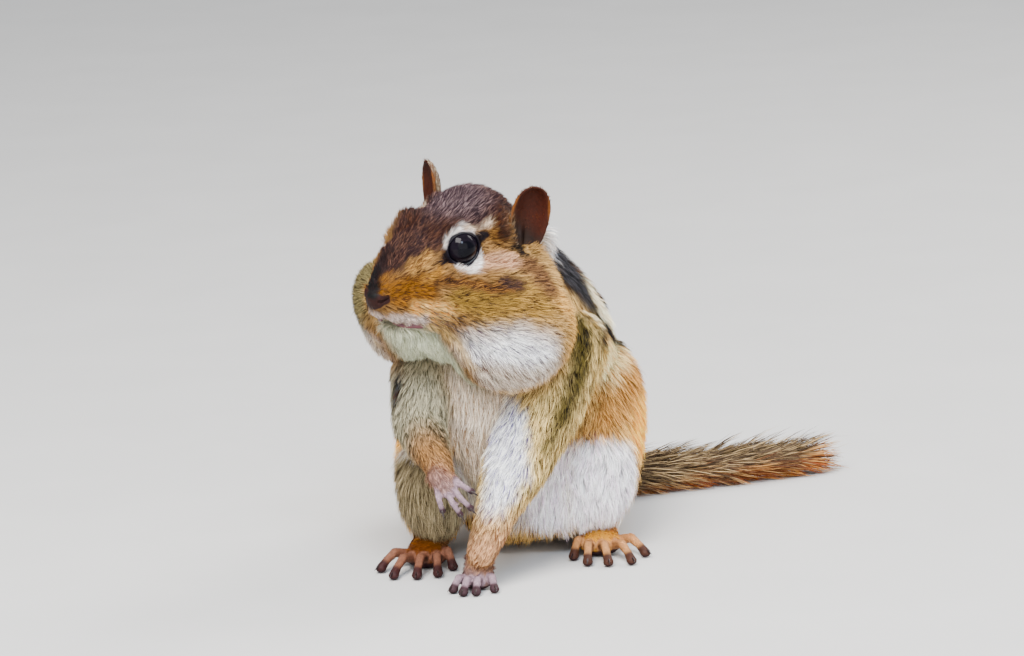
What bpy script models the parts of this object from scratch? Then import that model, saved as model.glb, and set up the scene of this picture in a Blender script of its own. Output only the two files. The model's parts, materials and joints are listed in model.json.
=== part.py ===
"""A life-size seated chipmunk with full cheek pouches, its right forepaw lifted.

Lengths are in millimetres while the shapes are made, and each finished mesh is scaled to metres.
The animal looks along -Y. +X is its left, and the floor is at Z = 0.
Every outline includes the depth of the short coat.
"""
import math
import random

import bmesh
import bpy
from mathutils import Matrix, Vector

METRES_PER_MM = 0.001
GAP = 0.3
FLOOR = 0.0

# Head frame: x towards the nose, y towards the animal's left, z up. Its origin lies between the eyes.
HEAD_ORIGIN = Vector((-16.2, 9.0, 80.0))
HEAD_YAW = math.radians(42)
HEAD_PITCH = math.radians(13)
HEAD_ROLL = math.radians(6)

EYE_CENTRE = Vector((0.2, 7.2, 0.0))
EYE_RADIUS = 4.1
EYE_AXIS = Vector((0.45, 0.90, 0.14)).normalized()
LID_RADIUS = 4.9
EYE_OPENING = 3.5

# The lowest point of each ear's rim, the way the ear rises and, for the left and right ear, the way its
# cup faces. The right ear is turned further forward.
EAR_NOTCH = Vector((-13.2, 14.0, -6.8))
EAR_RISE = Vector((-0.24, 0.16, 1.0)).normalized()
EAR_FACING = {1: Vector((0.60, 0.80, -0.05)), -1: Vector((0.85, -0.50, 0.05))}
EAR_HEIGHT = 16.8
EAR_HALF_WIDTH = 4.7
EAR_CUP_DEPTH = 2.8
EAR_THICKNESS = 0.9

# Each limb is a list of joints: a centre and a radius.
LEFT_FORELEG = (
    ((10.5, 27, 50), 12.0),
    ((5.5, 19, 39), 11.0),
    ((0, 13, 27), 8.2),
    ((-5.2, 6.5, 17), 5.3),
    ((-8.9, 2.6, 8.8), 4.0),
)
RIGHT_FORELEG = (
    ((-18.5, 26, 50), 10.5),
    ((-22, 14, 37.5), 6.8),
    ((-20.3, 5, 33.5), 4.8),
    ((-17.4, -1.5, 29.3), 3.2),
)
LEFT_HAUNCH = (
    ((19, 52, 28.5), (12.1, 20, 21)),
    ((18.5, 34, 19), (9.4, 10, 14)),
    ((16.3, 46, 9), (7, 8, 7)),
)
RIGHT_HAUNCH = (
    ((-15.5, 50, 27), (12.6, 20, 20)),
    ((-19.5, 30, 19), (9.5, 10, 14)),
    ((-20, 42, 9), (7, 8, 7)),
)
# The belly's fur runs over onto the left haunch without a crease.
GROIN = ((6, 33.5, 17), (8, 9.5, 13))

# The tail lies along the floor behind the animal's left side.
TAIL = (
    ((6, 80, 10), 5.5),
    ((15, 85.0, 6.6), 4.6),
    ((27, 87.0, 5.2), 3.8),
    ((42, 90.5, 4.8), 3.3),
    ((57, 95, 4.6), 2.8),
    ((69, 99.5, 4.4), 1.9),
)
TAIL_PARTINGS = (2, 4)
LOCK_SEED = 7

TRUNK_VOXEL = 0.8
HEAD_VOXEL = 0.5
PAW_VOXEL = 0.28
PAW_TRIANGLES = 660


def clear_scene():
    for thing in list(bpy.data.objects):
        bpy.data.objects.remove(thing)


def unit_ball_points(subdivisions):
    ball = bmesh.new()
    bmesh.ops.create_icosphere(ball, subdivisions=subdivisions, radius=1.0)
    points = [vertex.co.copy() for vertex in ball.verts]
    ball.free()
    return points


FINE_BALL = unit_ball_points(3)
ROUGH_BALL = unit_ball_points(2)
COARSE_BALL = unit_ball_points(1)


def head_axes():
    """Forward, left and up of the head after its yaw, pitch and roll."""
    level_forward = Vector((-math.sin(HEAD_YAW), -math.cos(HEAD_YAW), 0))
    level_left = Vector((math.cos(HEAD_YAW), -math.sin(HEAD_YAW), 0))
    level_up = Vector((0, 0, 1))
    forward = level_forward * math.cos(HEAD_PITCH) - level_up * math.sin(HEAD_PITCH)
    pitched_up = level_up * math.cos(HEAD_PITCH) + level_forward * math.sin(HEAD_PITCH)
    left = level_left * math.cos(HEAD_ROLL) - pitched_up * math.sin(HEAD_ROLL)
    up = pitched_up * math.cos(HEAD_ROLL) + level_left * math.sin(HEAD_ROLL)
    return forward, left, up


def frame_matrix(origin, forward, left, up):
    turn = Matrix((forward, left, up)).transposed().to_4x4()
    return Matrix.Translation(origin) @ turn


HEAD = frame_matrix(HEAD_ORIGIN, *head_axes())
WORLD = Matrix.Identity(4)


def hull(flesh, *balls, frame=WORLD, mirrored=False, points=FINE_BALL):
    """Adds the convex hull of some ellipsoids. A ball is (centre, radius) or (centre, three radii)."""
    for side in (1, -1) if mirrored else (1,):
        lump = bmesh.new()
        for centre, radii in balls:
            if isinstance(radii, (int, float)):
                radii = (radii, radii, radii)
            for point in points:
                local = Vector(point[i] * radii[i] + centre[i] for i in range(3))
                local.y *= side
                lump.verts.new(frame @ local)
        made = bmesh.ops.convex_hull(lump, input=lump.verts)
        bmesh.ops.delete(lump, geom=made["geom_interior"], context="VERTS")
        bmesh.ops.recalc_face_normals(lump, faces=lump.faces)
        mesh = bpy.data.meshes.new("lump")
        lump.to_mesh(mesh)
        lump.free()
        flesh.from_mesh(mesh)
        bpy.data.meshes.remove(mesh)


def chain(flesh, joints, frame=WORLD, mirrored=False):
    """Adds a tapered limb through the joints."""
    for first, second in zip(joints, joints[1:]):
        hull(flesh, first, second, frame=frame, mirrored=mirrored)


def material(name, colour, roughness):
    made = bpy.data.materials.new(name)
    made.use_nodes = True
    shader = made.node_tree.nodes["Principled BSDF"]
    shader.inputs["Base Color"].default_value = (*colour, 1.0)
    shader.inputs["Roughness"].default_value = roughness
    shader.inputs["Metallic"].default_value = 0.0
    return made


def object_from(flesh, name):
    mesh = bpy.data.meshes.new(name)
    flesh.to_mesh(mesh)
    flesh.free()
    thing = bpy.data.objects.new(name, mesh)
    bpy.context.scene.collection.objects.link(thing)
    return thing


def apply_modifiers(thing):
    bpy.context.view_layer.update()
    graph = bpy.context.evaluated_depsgraph_get()
    mesh = bpy.data.meshes.new_from_object(thing.evaluated_get(graph))
    thing.modifiers.clear()
    old = thing.data
    thing.data = mesh
    bpy.data.meshes.remove(old)


def thin_out(thing, triangles):
    """Lowers the object to about that many triangles."""
    present = sum(len(polygon.vertices) - 2 for polygon in thing.data.polygons)
    if present > triangles:
        thin = thing.modifiers.new("thin", "DECIMATE")
        thin.ratio = triangles / present
        apply_modifiers(thing)


def fused(flesh, name, voxel, smoothing, triangles):
    """One closed skin round all the lumps in the mesh, softened and thinned to about that many triangles."""
    thing = object_from(flesh, name)
    remesh = thing.modifiers.new("fuse", "REMESH")
    remesh.mode = "VOXEL"
    remesh.voxel_size = voxel
    soften = thing.modifiers.new("soften", "SMOOTH")
    soften.factor = 0.5
    soften.iterations = smoothing
    apply_modifiers(thing)
    thin_out(thing, triangles)
    return thing


def grown(thing, amount):
    """A copy of the object with its surface moved outwards, for cutting its neighbours."""
    copy = bpy.data.objects.new(thing.name + "_grown", thing.data.copy())
    bpy.context.scene.collection.objects.link(copy)
    normals = [vertex.normal.copy() for vertex in copy.data.vertices]
    for vertex, normal in zip(copy.data.vertices, normals):
        vertex.co += normal * amount
    return copy


def boolean(thing, other, operation):
    change = thing.modifiers.new(operation.lower(), "BOOLEAN")
    change.operation = operation
    change.object = other
    apply_modifiers(thing)


def subtract(thing, cutters):
    for cutter in cutters:
        boolean(thing, cutter, "DIFFERENCE")
    keep_largest(thing)


def subtract_grown(thing, neighbours):
    for neighbour in neighbours:
        cutter = grown(neighbour, GAP)
        boolean(thing, cutter, "DIFFERENCE")
        bpy.data.objects.remove(cutter)
    keep_largest(thing)


def unite(thing, pieces):
    """Joins closed pieces to the object with one Boolean union."""
    group = bpy.data.collections.new("pieces of " + thing.name)
    for piece in pieces:
        group.objects.link(piece)
    join = thing.modifiers.new("join", "BOOLEAN")
    join.operation = "UNION"
    join.operand_type = "COLLECTION"
    join.collection = group
    apply_modifiers(thing)
    for piece in pieces:
        bpy.data.objects.remove(piece)
    bpy.data.collections.remove(group)
    keep_largest(thing)


def signed_volume(faces):
    total = 0.0
    for face in faces:
        corners = [loop.vert.co for loop in face.loops]
        for second, third in zip(corners[1:], corners[2:]):
            total += corners[0].dot(second.cross(third)) / 6
    return total


def keep_largest(thing):
    """Drops every closed surface of the mesh but the one that holds the most."""
    flesh = bmesh.new()
    flesh.from_mesh(thing.data)
    islands = []
    waiting = set(flesh.faces)
    while waiting:
        start = waiting.pop()
        island = [start]
        for face in island:
            for edge in face.edges:
                for neighbour in edge.link_faces:
                    if neighbour in waiting:
                        waiting.remove(neighbour)
                        island.append(neighbour)
        islands.append(island)
    islands.sort(key=signed_volume, reverse=True)
    loose = [face for island in islands[1:] for face in island]
    if loose:
        bmesh.ops.delete(flesh, geom=loose, context="FACES")
        flesh.to_mesh(thing.data)
    flesh.free()


def clip(thing, point, normal):
    """Cuts away what lies beyond a plane, on its normal's side, and closes the cut."""
    flesh = bmesh.new()
    flesh.from_mesh(thing.data)
    everything = flesh.verts[:] + flesh.edges[:] + flesh.faces[:]
    cut = bmesh.ops.bisect_plane(
        flesh, geom=everything, dist=1e-5, plane_co=point, plane_no=normal, clear_outer=True
    )
    rim = [part for part in cut["geom_cut"] if isinstance(part, bmesh.types.BMEdge)]
    bmesh.ops.holes_fill(flesh, edges=rim)
    bmesh.ops.triangulate(flesh, faces=[face for face in flesh.faces if len(face.verts) > 4])
    flesh.to_mesh(thing.data)
    flesh.free()


def stand_on_floor(thing):
    clip(thing, (0, 0, FLOOR), (0, 0, -1))


def copy_of(thing, name):
    copy = bpy.data.objects.new(name, thing.data.copy())
    bpy.context.scene.collection.objects.link(copy)
    return copy


def part_off(thing, flesh, name):
    """Parts off what lies inside the lumps of flesh, with a thin gap round it."""
    region = object_from(flesh, "region")
    piece = copy_of(thing, name)
    boolean(piece, region, "INTERSECT")
    keep_largest(piece)
    around = grown(region, GAP)
    boolean(thing, around, "DIFFERENCE")
    keep_largest(thing)
    bpy.data.objects.remove(around)
    bpy.data.objects.remove(region)
    return piece


def part_at(thing, point, normal, name):
    """Parts off what lies beyond a plane, leaving a thin gap."""
    normal = Vector(normal).normalized()
    piece = copy_of(thing, name)
    clip(piece, Vector(point) + normal * GAP / 2, -normal)
    clip(thing, Vector(point) - normal * GAP / 2, normal)
    keep_largest(piece)
    keep_largest(thing)
    return piece


# The head, with both pouches full.

def head_flesh():
    flesh = bmesh.new()
    braincase = ((-11.0, 0, -2.4), (12.0, 11.6, 10.8))
    forehead = ((-1.5, 0, -2.0), (9.5, 8.6, 9.0))
    bridge = ((12.0, 0, -2.0), (6.4, 6.8, 6.6))
    nose_top = ((19.2, 0, -3.9), (3.5, 3.9, 3.5))
    nose_tip = ((20.9, 0, -5.6), (3.1, 3.4, 3.3))
    hull(flesh, braincase, forehead, frame=HEAD)
    hull(flesh, forehead, bridge, frame=HEAD)
    hull(flesh, bridge, nose_top, nose_tip, frame=HEAD)
    lip = ((15.0, 2.8, -10.6), (4.4, 3.7, 4.4))
    cheek = ((5.0, 7.0, -11.0), (8.0, 6.0, 8.0))
    cheekbone = ((-3.0, 6.5, -7.0), (9.0, 6.0, 7.5))
    hull(flesh, lip, cheek, bridge, frame=HEAD, mirrored=True)
    chin = ((11.0, 0, -16.6), (4.4, 4.8, 3.4))
    throat = ((-3.0, 0, -21.0), (12.0, 12.0, 10.0))
    hull(flesh, chin, throat, frame=HEAD)
    pouch_back = ((-6.5, 12.8, -22.4), (16.0, 15.2, 14.6))
    pouch_top = ((-14.0, 8.0, -10.0), (11.0, 6.8, 9.5))
    hull(flesh, cheek, cheekbone, pouch_back, pouch_top, frame=HEAD, mirrored=True)
    ear_base = ((-11.0, 10.0, -1.5), (3.4, 3.6, 6.0))
    hull(flesh, ear_base, ((-11.0, 7.0, 0.0), 6.0), frame=HEAD, mirrored=True)
    lids = (EYE_CENTRE, LID_RADIUS)
    hull(flesh, lids, forehead, frame=HEAD, mirrored=True)
    # The right cheek is fuller in front, and the brow over the right eye is lower.
    right_cheek = ((6.0, -10.5, -15.0), (8.5, 10.2, 11.0))
    hull(flesh, right_cheek, ((-6.5, -12.8, -22.4), (16.0, 15.2, 14.6)), frame=HEAD)
    brow_front = ((5.6, -6.2, 1.0), 3.3)
    brow_top = ((1.5, -6.8, 3.9), 2.8)
    hull(flesh, brow_front, brow_top, forehead, frame=HEAD)
    return flesh


def on_side(place, side):
    return Vector((place.x, place.y * side, place.z))


def eye(side, name):
    flesh = bmesh.new()
    place = Matrix.Translation(HEAD @ on_side(EYE_CENTRE, side))
    bmesh.ops.create_uvsphere(flesh, u_segments=14, v_segments=9, radius=EYE_RADIUS, matrix=place)
    return object_from(flesh, name)


def eye_cutters(side):
    """The socket that the eyeball fills, and the round opening between the lids."""
    centre = on_side(EYE_CENTRE, side)
    axis = on_side(EYE_AXIS, side)
    socket = bmesh.new()
    place = Matrix.Translation(HEAD @ centre)
    bmesh.ops.create_uvsphere(
        socket, u_segments=14, v_segments=9, radius=EYE_RADIUS + GAP, matrix=place
    )
    opening = bmesh.new()
    near, far = 2.2, 9.0
    turn = axis.to_track_quat("Z", "Y").to_matrix().to_4x4()
    place = HEAD @ Matrix.Translation(centre + axis * (near + far) / 2) @ turn
    bmesh.ops.create_cone(
        opening,
        cap_ends=True,
        segments=20,
        radius1=EYE_OPENING,
        radius2=EYE_OPENING * 1.9,
        depth=far - near,
        matrix=place,
    )
    return [object_from(socket, "socket"), object_from(opening, "opening")]


def ear_frame(side):
    rise = on_side(EAR_RISE, side)
    facing = EAR_FACING[side]
    facing = (facing - rise * facing.dot(rise)).normalized()
    return HEAD @ frame_matrix(on_side(EAR_NOTCH, side), facing, rise.cross(facing), rise)


def ear_hollow(side):
    """The hollow of the ear's cup, where it sinks into the head."""
    flesh = bmesh.new()
    hull(flesh, ((0.5, 0, 8.0), (2.7, 3.8, 7.4)), frame=ear_frame(side), points=ROUGH_BALL)
    return object_from(flesh, "hollow")


def mouth_cutters():
    """The line of the mouth, and the two nostrils."""
    mouth = bmesh.new()
    tilt = Matrix.Rotation(math.radians(-25), 4, "Y")
    place = HEAD @ Matrix.Translation((10.6, 0, -16.3)) @ tilt
    hull(mouth, ((0, 0, 0), (9.0, 7.0, 0.45)), frame=place, points=ROUGH_BALL)
    nostrils = bmesh.new()
    hull(nostrils, ((22.6, 2.6, -5.0), (1.3, 0.9, 0.7)), frame=HEAD, mirrored=True, points=COARSE_BALL)
    return [object_from(mouth, "mouth"), object_from(nostrils, "nostrils")]


# The ears are thin cups.

def ear(side, name):
    flesh = bmesh.new()
    across, along = 8, 7
    rows = []
    widest, below, above = 0.62, 0.65, 0.395
    for j in range(along + 1):
        up = j / along
        reach = below if up < widest else above
        half = EAR_HALF_WIDTH * math.sqrt(1 - ((up - widest) / reach) ** 2)
        row = []
        for i in range(across + 1):
            u = 2 * i / across - 1
            curl = EAR_CUP_DEPTH * (u * u - 1) * half / EAR_HALF_WIDTH
            row.append(flesh.verts.new((curl, u * half, EAR_HEIGHT * up)))
        rows.append(row)
    for low, high in zip(rows, rows[1:]):
        for i in range(across):
            flesh.faces.new((low[i], low[i + 1], high[i + 1], high[i]))
    bmesh.ops.recalc_face_normals(flesh, faces=flesh.faces)
    thing = object_from(flesh, name)
    sheet = thing.modifiers.new("thickness", "SOLIDIFY")
    sheet.thickness = EAR_THICKNESS
    sheet.offset = 0.0
    apply_modifiers(thing)
    thing.data.transform(ear_frame(side))
    return thing


# The paws. Each digit is (root forward, root sideways, spread in degrees, length).
# A positive side is the animal's outer side.

LIFTED_DIGITS = ((3.0, -2.3, -20, 5.0), (4.2, -0.8, -6, 6.8), (4.1, 0.8, 5, 6.6), (2.6, 2.3, 24, 5.2))
PLANTED_DIGITS = ((3.0, -2.8, -32, 5.0), (4.2, -1.2, -14, 6.2), (4.0, 0.6, -2, 6.0), (2.6, 2.8, 20, 5.0))
HINDFOOT_DIGITS = (
    (16.5, -3.9, -24, 8.6),
    (20.4, -2.9, -9, 10.4),
    (21.4, -0.2, 3, 11.0),
    (20.7, 2.6, 17, 12.2),
    (17.0, 4.2, 36, 10.6),
)


def digit(flesh, claws, frame, outer, root, radius, height, arch, drop):
    forward, sideways, spread, length = root
    angle = math.radians(spread * outer)
    start = Vector((forward, sideways * outer, height))
    along = Vector((math.cos(angle), math.sin(angle), 0))
    knuckle = start + along * length * 0.42 + Vector((0, 0, arch))
    tip = start + along * length * 0.86 - Vector((0, 0, drop))
    chain(flesh, ((start, radius), (knuckle, radius * 0.92), (tip, radius)), frame=frame)
    claw_root = tip + along * radius * 0.5 + Vector((0, 0, radius * 0.35))
    claw_tip = claw_root + along * 2.0 + Vector((0, 0, -0.6))
    claws.append((frame, (claw_root, 0.5), (claw_tip, 0.2)))


def finished_paw(flesh, claws, name, triangles):
    paw = fused(flesh, name, PAW_VOXEL, 3, triangles)
    pieces = []
    for frame, root, tip in claws:
        claw = bmesh.new()
        hull(claw, root, tip, frame=frame, points=COARSE_BALL)
        pieces.append(object_from(claw, "claw"))
    unite(paw, pieces)
    stand_on_floor(paw)
    thin_out(paw, PAW_TRIANGLES)
    return paw


def hindfoot(side, heel, toward, name):
    """A long flat foot. Its frame starts at the heel, on the floor."""
    up = Vector((0, 0, 1))
    forward = (Vector(toward) - Vector(heel)).normalized()
    frame = frame_matrix(Vector(heel), forward, up.cross(forward), up)
    flesh = bmesh.new()
    claws = []
    heel_ball = ((1.0, 0, 3.0), (3.6, 3.4, 3.3))
    instep = ((10.0, 0, 4.0), (5.0, 4.2, 3.7))
    ball_of_foot = ((19.0, -0.2 * side, 2.6), (4.4, 5.2, 3.0))
    hull(flesh, heel_ball, instep, frame=frame)
    hull(flesh, instep, ball_of_foot, frame=frame)
    for root in HINDFOOT_DIGITS:
        digit(flesh, claws, frame, side, root, radius=1.4, height=2.6, arch=1.3, drop=1.35)
    return finished_paw(flesh, claws, name, 560)


def planted_forepaw(name):
    up = Vector((0, 0, 1))
    forward = Vector((-0.12, -1.0, 0)).normalized()
    frame = frame_matrix(Vector((-10.0, 5.8, 0)), forward, up.cross(forward), up)
    flesh = bmesh.new()
    claws = []
    wrist = ((-0.2, 0.3, 6.2), (3.1, 3.5, 3.0))
    palm = ((3.0, 0, 1.9), (3.0, 3.8, 2.1))
    hull(flesh, wrist, palm, frame=frame)
    for root in PLANTED_DIGITS:
        digit(flesh, claws, frame, 1, root, radius=1.3, height=1.9, arch=1.2, drop=0.8)
    return finished_paw(flesh, claws, name, 560)


def lifted_forepaw(name):
    forward = Vector((0.54, -0.30, -0.79)).normalized()
    up = Vector((-0.15, -1.0, 0.20))
    up = (up - forward * up.dot(forward)).normalized()
    frame = frame_matrix(Vector((-17.8, -3.2, 28.4)), forward, up.cross(forward), up)
    flesh = bmesh.new()
    claws = []
    wrist = ((-0.4, 0, 0), (2.6, 2.8, 2.3))
    palm = ((3.0, 0, 0), (2.6, 3.0, 1.7))
    hull(flesh, wrist, palm, frame=frame)
    for root in LIFTED_DIGITS:
        digit(flesh, claws, frame, -1, root, radius=0.95, height=0, arch=0.6, drop=0.9)
    return finished_paw(flesh, claws, name, 560)


# The trunk is modelled whole, with its limbs, and parted afterwards.

def trunk():
    flesh = bmesh.new()
    pelvis = ((3, 62, 26), (24, 24, 26.8))
    belly = ((-1, 42, 26), (21, 20, 26))
    ribs = ((1.0, 45, 47.7), (23.5, 20, 21.5))
    breast = ((-6, 22, 46), (14, 11, 18))
    shoulders = ((-0.7, 33, 60), (19.8, 15, 15))
    nape = ((-4.5, 27, 72), (14.0, 12.5, 12))
    ear_tuft = ((5.2, 21.5, 76), 5.2)
    rump = ((7, 80, 14), (12, 10, 12))
    hull(flesh, pelvis, belly, ribs)
    hull(flesh, ribs, shoulders)
    hull(flesh, breast, shoulders)
    hull(flesh, breast, belly)
    hull(flesh, shoulders, nape)
    hull(flesh, nape, ear_tuft)
    hull(flesh, pelvis, rump)
    chain(flesh, LEFT_FORELEG)
    chain(flesh, RIGHT_FORELEG)
    chain(flesh, LEFT_HAUNCH)
    chain(flesh, RIGHT_HAUNCH)
    hull(flesh, GROIN, LEFT_HAUNCH[1])
    whole = fused(flesh, "rump", TRUNK_VOXEL, 8, 3400)
    stand_on_floor(whole)
    return whole


def limb_region(joints, margin):
    """A lump a little larger than the limb, so that the parting runs round its root."""
    flesh = bmesh.new()
    larger = []
    for centre, radii in joints:
        if isinstance(radii, (int, float)):
            radii = (radii, radii, radii)
        larger.append((centre, tuple(radius + margin for radius in radii)))
    hull(flesh, *larger, points=ROUGH_BALL)
    return flesh


# The tail's long hair is built as flat tapered locks that lie back along it.

LOCK_STATIONS = ((0.0, 0.75), (0.35, 1.0), (0.7, 0.72), (1.0, 0.16))


def lock(root, along, out, flat, length, width, thickness):
    """A closed flat lock that leaves its root outwards and bends to lie along the tail."""
    flesh = bmesh.new()
    rings = []
    for place, taper in LOCK_STATIONS:
        centre = root + length * (along * place + out * (0.92 * place - 0.36 * place * place))
        heading = (along + out * (0.92 - 0.72 * place)).normalized()
        across = heading.cross(flat).normalized()
        half_width = across * width * taper / 2
        half_depth = across.cross(heading) * max(thickness * taper, 0.5) / 2
        corners = (half_width, half_depth, -half_width, -half_depth)
        rings.append([flesh.verts.new(centre + corner) for corner in corners])
    for low, high in zip(rings, rings[1:]):
        for i in range(4):
            j = (i + 1) % 4
            flesh.faces.new((low[i], low[j], high[j], high[i]))
    flesh.faces.new(rings[0][::-1])
    flesh.faces.new(rings[-1])
    bmesh.ops.recalc_face_normals(flesh, faces=flesh.faces)
    return object_from(flesh, "lock")


def tail_locks():
    dice = random.Random(LOCK_SEED)
    joints = [(Vector(centre), radius) for centre, radius in TAIL]
    locks = []
    for k, (first, second) in enumerate(zip(joints, joints[1:])):
        along = (second[0] - first[0]).normalized()
        side = along.cross(Vector((0, 0, 1))).normalized()
        above = side.cross(along)
        steps = 3 if k else 2
        for step in range(steps):
            part = (step + dice.uniform(0.2, 0.8)) / steps
            centre = first[0].lerp(second[0], part)
            radius = first[1] + (second[1] - first[1]) * part
            for lean in (-112, -66, 0, 66, 112):
                angle = math.radians(lean + dice.uniform(-12, 12))
                out = side * math.sin(angle) + above * math.cos(angle)
                flat = above * math.copysign(1.0, out.dot(above)) if abs(lean) > 50 else out
                spread = 0.95 if abs(lean) > 50 else 0.42
                length = dice.uniform(11, 14) * (0.75 if k == 0 else 1.0)
                root = centre + out * radius * 0.55
                locks.append(lock(root, along, out * spread, flat, length, dice.uniform(4.2, 5.4), 1.7))
    end, radius = joints[-1]
    for lean in (-100, -55, 0, 55, 100):
        angle = math.radians(lean)
        out = side * math.sin(angle) + above * math.cos(angle)
        locks.append(lock(end, along, out * 0.45, above, dice.uniform(10, 13), 3.4, 1.5))
    return locks


def tail():
    flesh = bmesh.new()
    chain(flesh, TAIL)
    whole = fused(flesh, "tail_base", 0.5, 3, 700)
    unite(whole, tail_locks())
    stand_on_floor(whole)
    return whole


def tail_parts(whole):
    pieces = [whole]
    for name, joint in zip(("tail_middle", "tail_tip"), TAIL_PARTINGS):
        along = Vector(TAIL[joint + 1][0]) - Vector(TAIL[joint - 1][0])
        along.z = 0
        pieces.append(part_at(pieces[-1], TAIL[joint][0], along, name))
    return pieces


def paint(names, colour, roughness):
    for name in names:
        thing = bpy.data.objects[name]
        thing.data.materials.clear()
        thing.data.materials.append(material(name, colour, roughness))


def set_down(things):
    """Moves the whole animal so that the origin lies under its middle, and scales it to metres."""
    corners = [vertex.co for thing in things for vertex in thing.data.vertices]
    lowest = Vector(min(corner[i] for corner in corners) for i in range(3))
    highest = Vector(max(corner[i] for corner in corners) for i in range(3))
    middle = (lowest + highest) / 2
    move = Matrix.Translation((-middle.x, -middle.y, -lowest.z))
    for thing in things:
        thing.data.transform(Matrix.Scale(METRES_PER_MM, 4) @ move)


def build():
    clear_scene()
    head = fused(head_flesh(), "head", HEAD_VOXEL, 5, 2600)
    ears = [ear(1, "ear_left"), ear(-1, "ear_right")]
    eye(1, "eye_left")
    eye(-1, "eye_right")
    planted = planted_forepaw("forepaw_left")
    lifted = lifted_forepaw("forepaw_right")
    hindfeet = [
        hindfoot(1, (17.0, 48.5, 0), (18.7, 27.5, 0), "hindfoot_left"),
        hindfoot(-1, (-19.7, 44, 0), (-22.6, 23, 0), "hindfoot_right"),
    ]
    solid_head = copy_of(head, "solid_head")
    cutters = mouth_cutters()
    for side in (1, -1):
        cutters += eye_cutters(side) + [ear_hollow(side)]
    subtract(head, cutters)
    for cutter in cutters:
        bpy.data.objects.remove(cutter)
    thin_out(head, 3000)
    for thing in ears:
        subtract_grown(thing, [head])
    rump = trunk()
    subtract_grown(rump, [solid_head, planted, lifted] + hindfeet)
    bpy.data.objects.remove(solid_head)
    legs = [
        part_off(rump, limb_region(LEFT_FORELEG, 1.0), "foreleg_left"),
        part_off(rump, limb_region(RIGHT_FORELEG, 1.0), "foreleg_right"),
        part_off(rump, limb_region(LEFT_HAUNCH, 0.8), "hindleg_left"),
        part_off(rump, limb_region(RIGHT_HAUNCH, 0.8), "hindleg_right"),
    ]
    chest = part_at(rump, (0, 46, 44), (0, -0.67, 0.74), "chest")
    neck = part_at(chest, (-6, 32, 66), (0, -0.35, 0.94), "neck")
    for thing, triangles in zip(legs + [rump, chest, neck], (680, 600, 560, 560, 900, 950, 400)):
        thin_out(thing, triangles)
    whole_tail = tail()
    subtract_grown(whole_tail, [rump])
    for thing, triangles in zip(tail_parts(whole_tail), (700, 1500, 1200)):
        thin_out(thing, triangles)
    paint(["head", "neck", "chest", "rump"], (0.42, 0.27, 0.15), 0.85)
    paint(["foreleg_left", "foreleg_right", "hindleg_left", "hindleg_right"], (0.55, 0.42, 0.27), 0.85)
    paint(["forepaw_left", "forepaw_right", "hindfoot_left", "hindfoot_right"], (0.62, 0.36, 0.20), 0.7)
    paint(["ear_left", "ear_right"], (0.28, 0.14, 0.06), 0.75)
    paint(["eye_left", "eye_right"], (0.012, 0.010, 0.012), 0.08)
    paint(["tail_base", "tail_middle", "tail_tip"], (0.16, 0.14, 0.12), 0.85)
    set_down(list(bpy.context.scene.collection.objects))


build()
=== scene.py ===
"""The looks of a live-size seated chipmunk: skin, coat, eyes, ears, nose, lips, whiskers and claws.

Shapes are worked out in millimetres, in the frame that the solids were designed in: the animal looks
along -Y, +X is its left and the floor is at Z = 0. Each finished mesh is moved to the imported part's place.
"""

import json
import math
from itertools import product

import bmesh
import bpy
import numpy as np
from mathutils import Matrix, Quaternion, Vector
from mathutils.bvhtree import BVHTree

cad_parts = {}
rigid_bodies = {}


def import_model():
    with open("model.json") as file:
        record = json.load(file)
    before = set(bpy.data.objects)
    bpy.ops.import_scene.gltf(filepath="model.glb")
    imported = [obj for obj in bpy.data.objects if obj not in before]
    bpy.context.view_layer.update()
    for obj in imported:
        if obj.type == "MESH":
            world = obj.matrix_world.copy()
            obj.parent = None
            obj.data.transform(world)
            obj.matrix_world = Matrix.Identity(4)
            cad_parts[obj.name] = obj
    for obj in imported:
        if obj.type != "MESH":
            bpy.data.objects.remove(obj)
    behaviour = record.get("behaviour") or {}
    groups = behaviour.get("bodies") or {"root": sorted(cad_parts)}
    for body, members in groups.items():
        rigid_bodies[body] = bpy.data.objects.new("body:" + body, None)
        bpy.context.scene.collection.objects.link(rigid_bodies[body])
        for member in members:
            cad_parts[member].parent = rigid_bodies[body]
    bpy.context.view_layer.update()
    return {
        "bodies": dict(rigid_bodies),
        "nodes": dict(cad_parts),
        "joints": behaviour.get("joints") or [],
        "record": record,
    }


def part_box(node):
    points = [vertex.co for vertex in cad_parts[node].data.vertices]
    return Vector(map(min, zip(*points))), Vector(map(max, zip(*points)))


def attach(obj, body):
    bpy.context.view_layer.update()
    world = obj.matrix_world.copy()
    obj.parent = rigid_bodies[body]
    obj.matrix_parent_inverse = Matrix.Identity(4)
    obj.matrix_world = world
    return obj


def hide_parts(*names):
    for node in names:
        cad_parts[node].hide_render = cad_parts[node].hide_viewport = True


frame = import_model()

METRES_PER_MM = 0.001
SEED = 11
COAT_SHARE = 1.0

# Head frame: x towards the nose, y towards the animal's left, z up. Its origin lies between the eyes.
HEAD_ORIGIN = Vector((-16.2, 9.0, 80.0))
HEAD_YAW = math.radians(42)
HEAD_PITCH = math.radians(13)
HEAD_ROLL = math.radians(6)

EYE_CENTRE = Vector((0.2, 7.2, 0.0))
EYE_RADIUS = 4.1
EYE_AXIS = Vector((0.45, 0.9, 0.14)).normalized()
EYE_FRONT = Vector((1, 0, 0.05))
EYE_OPENING = 3.5

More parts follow.
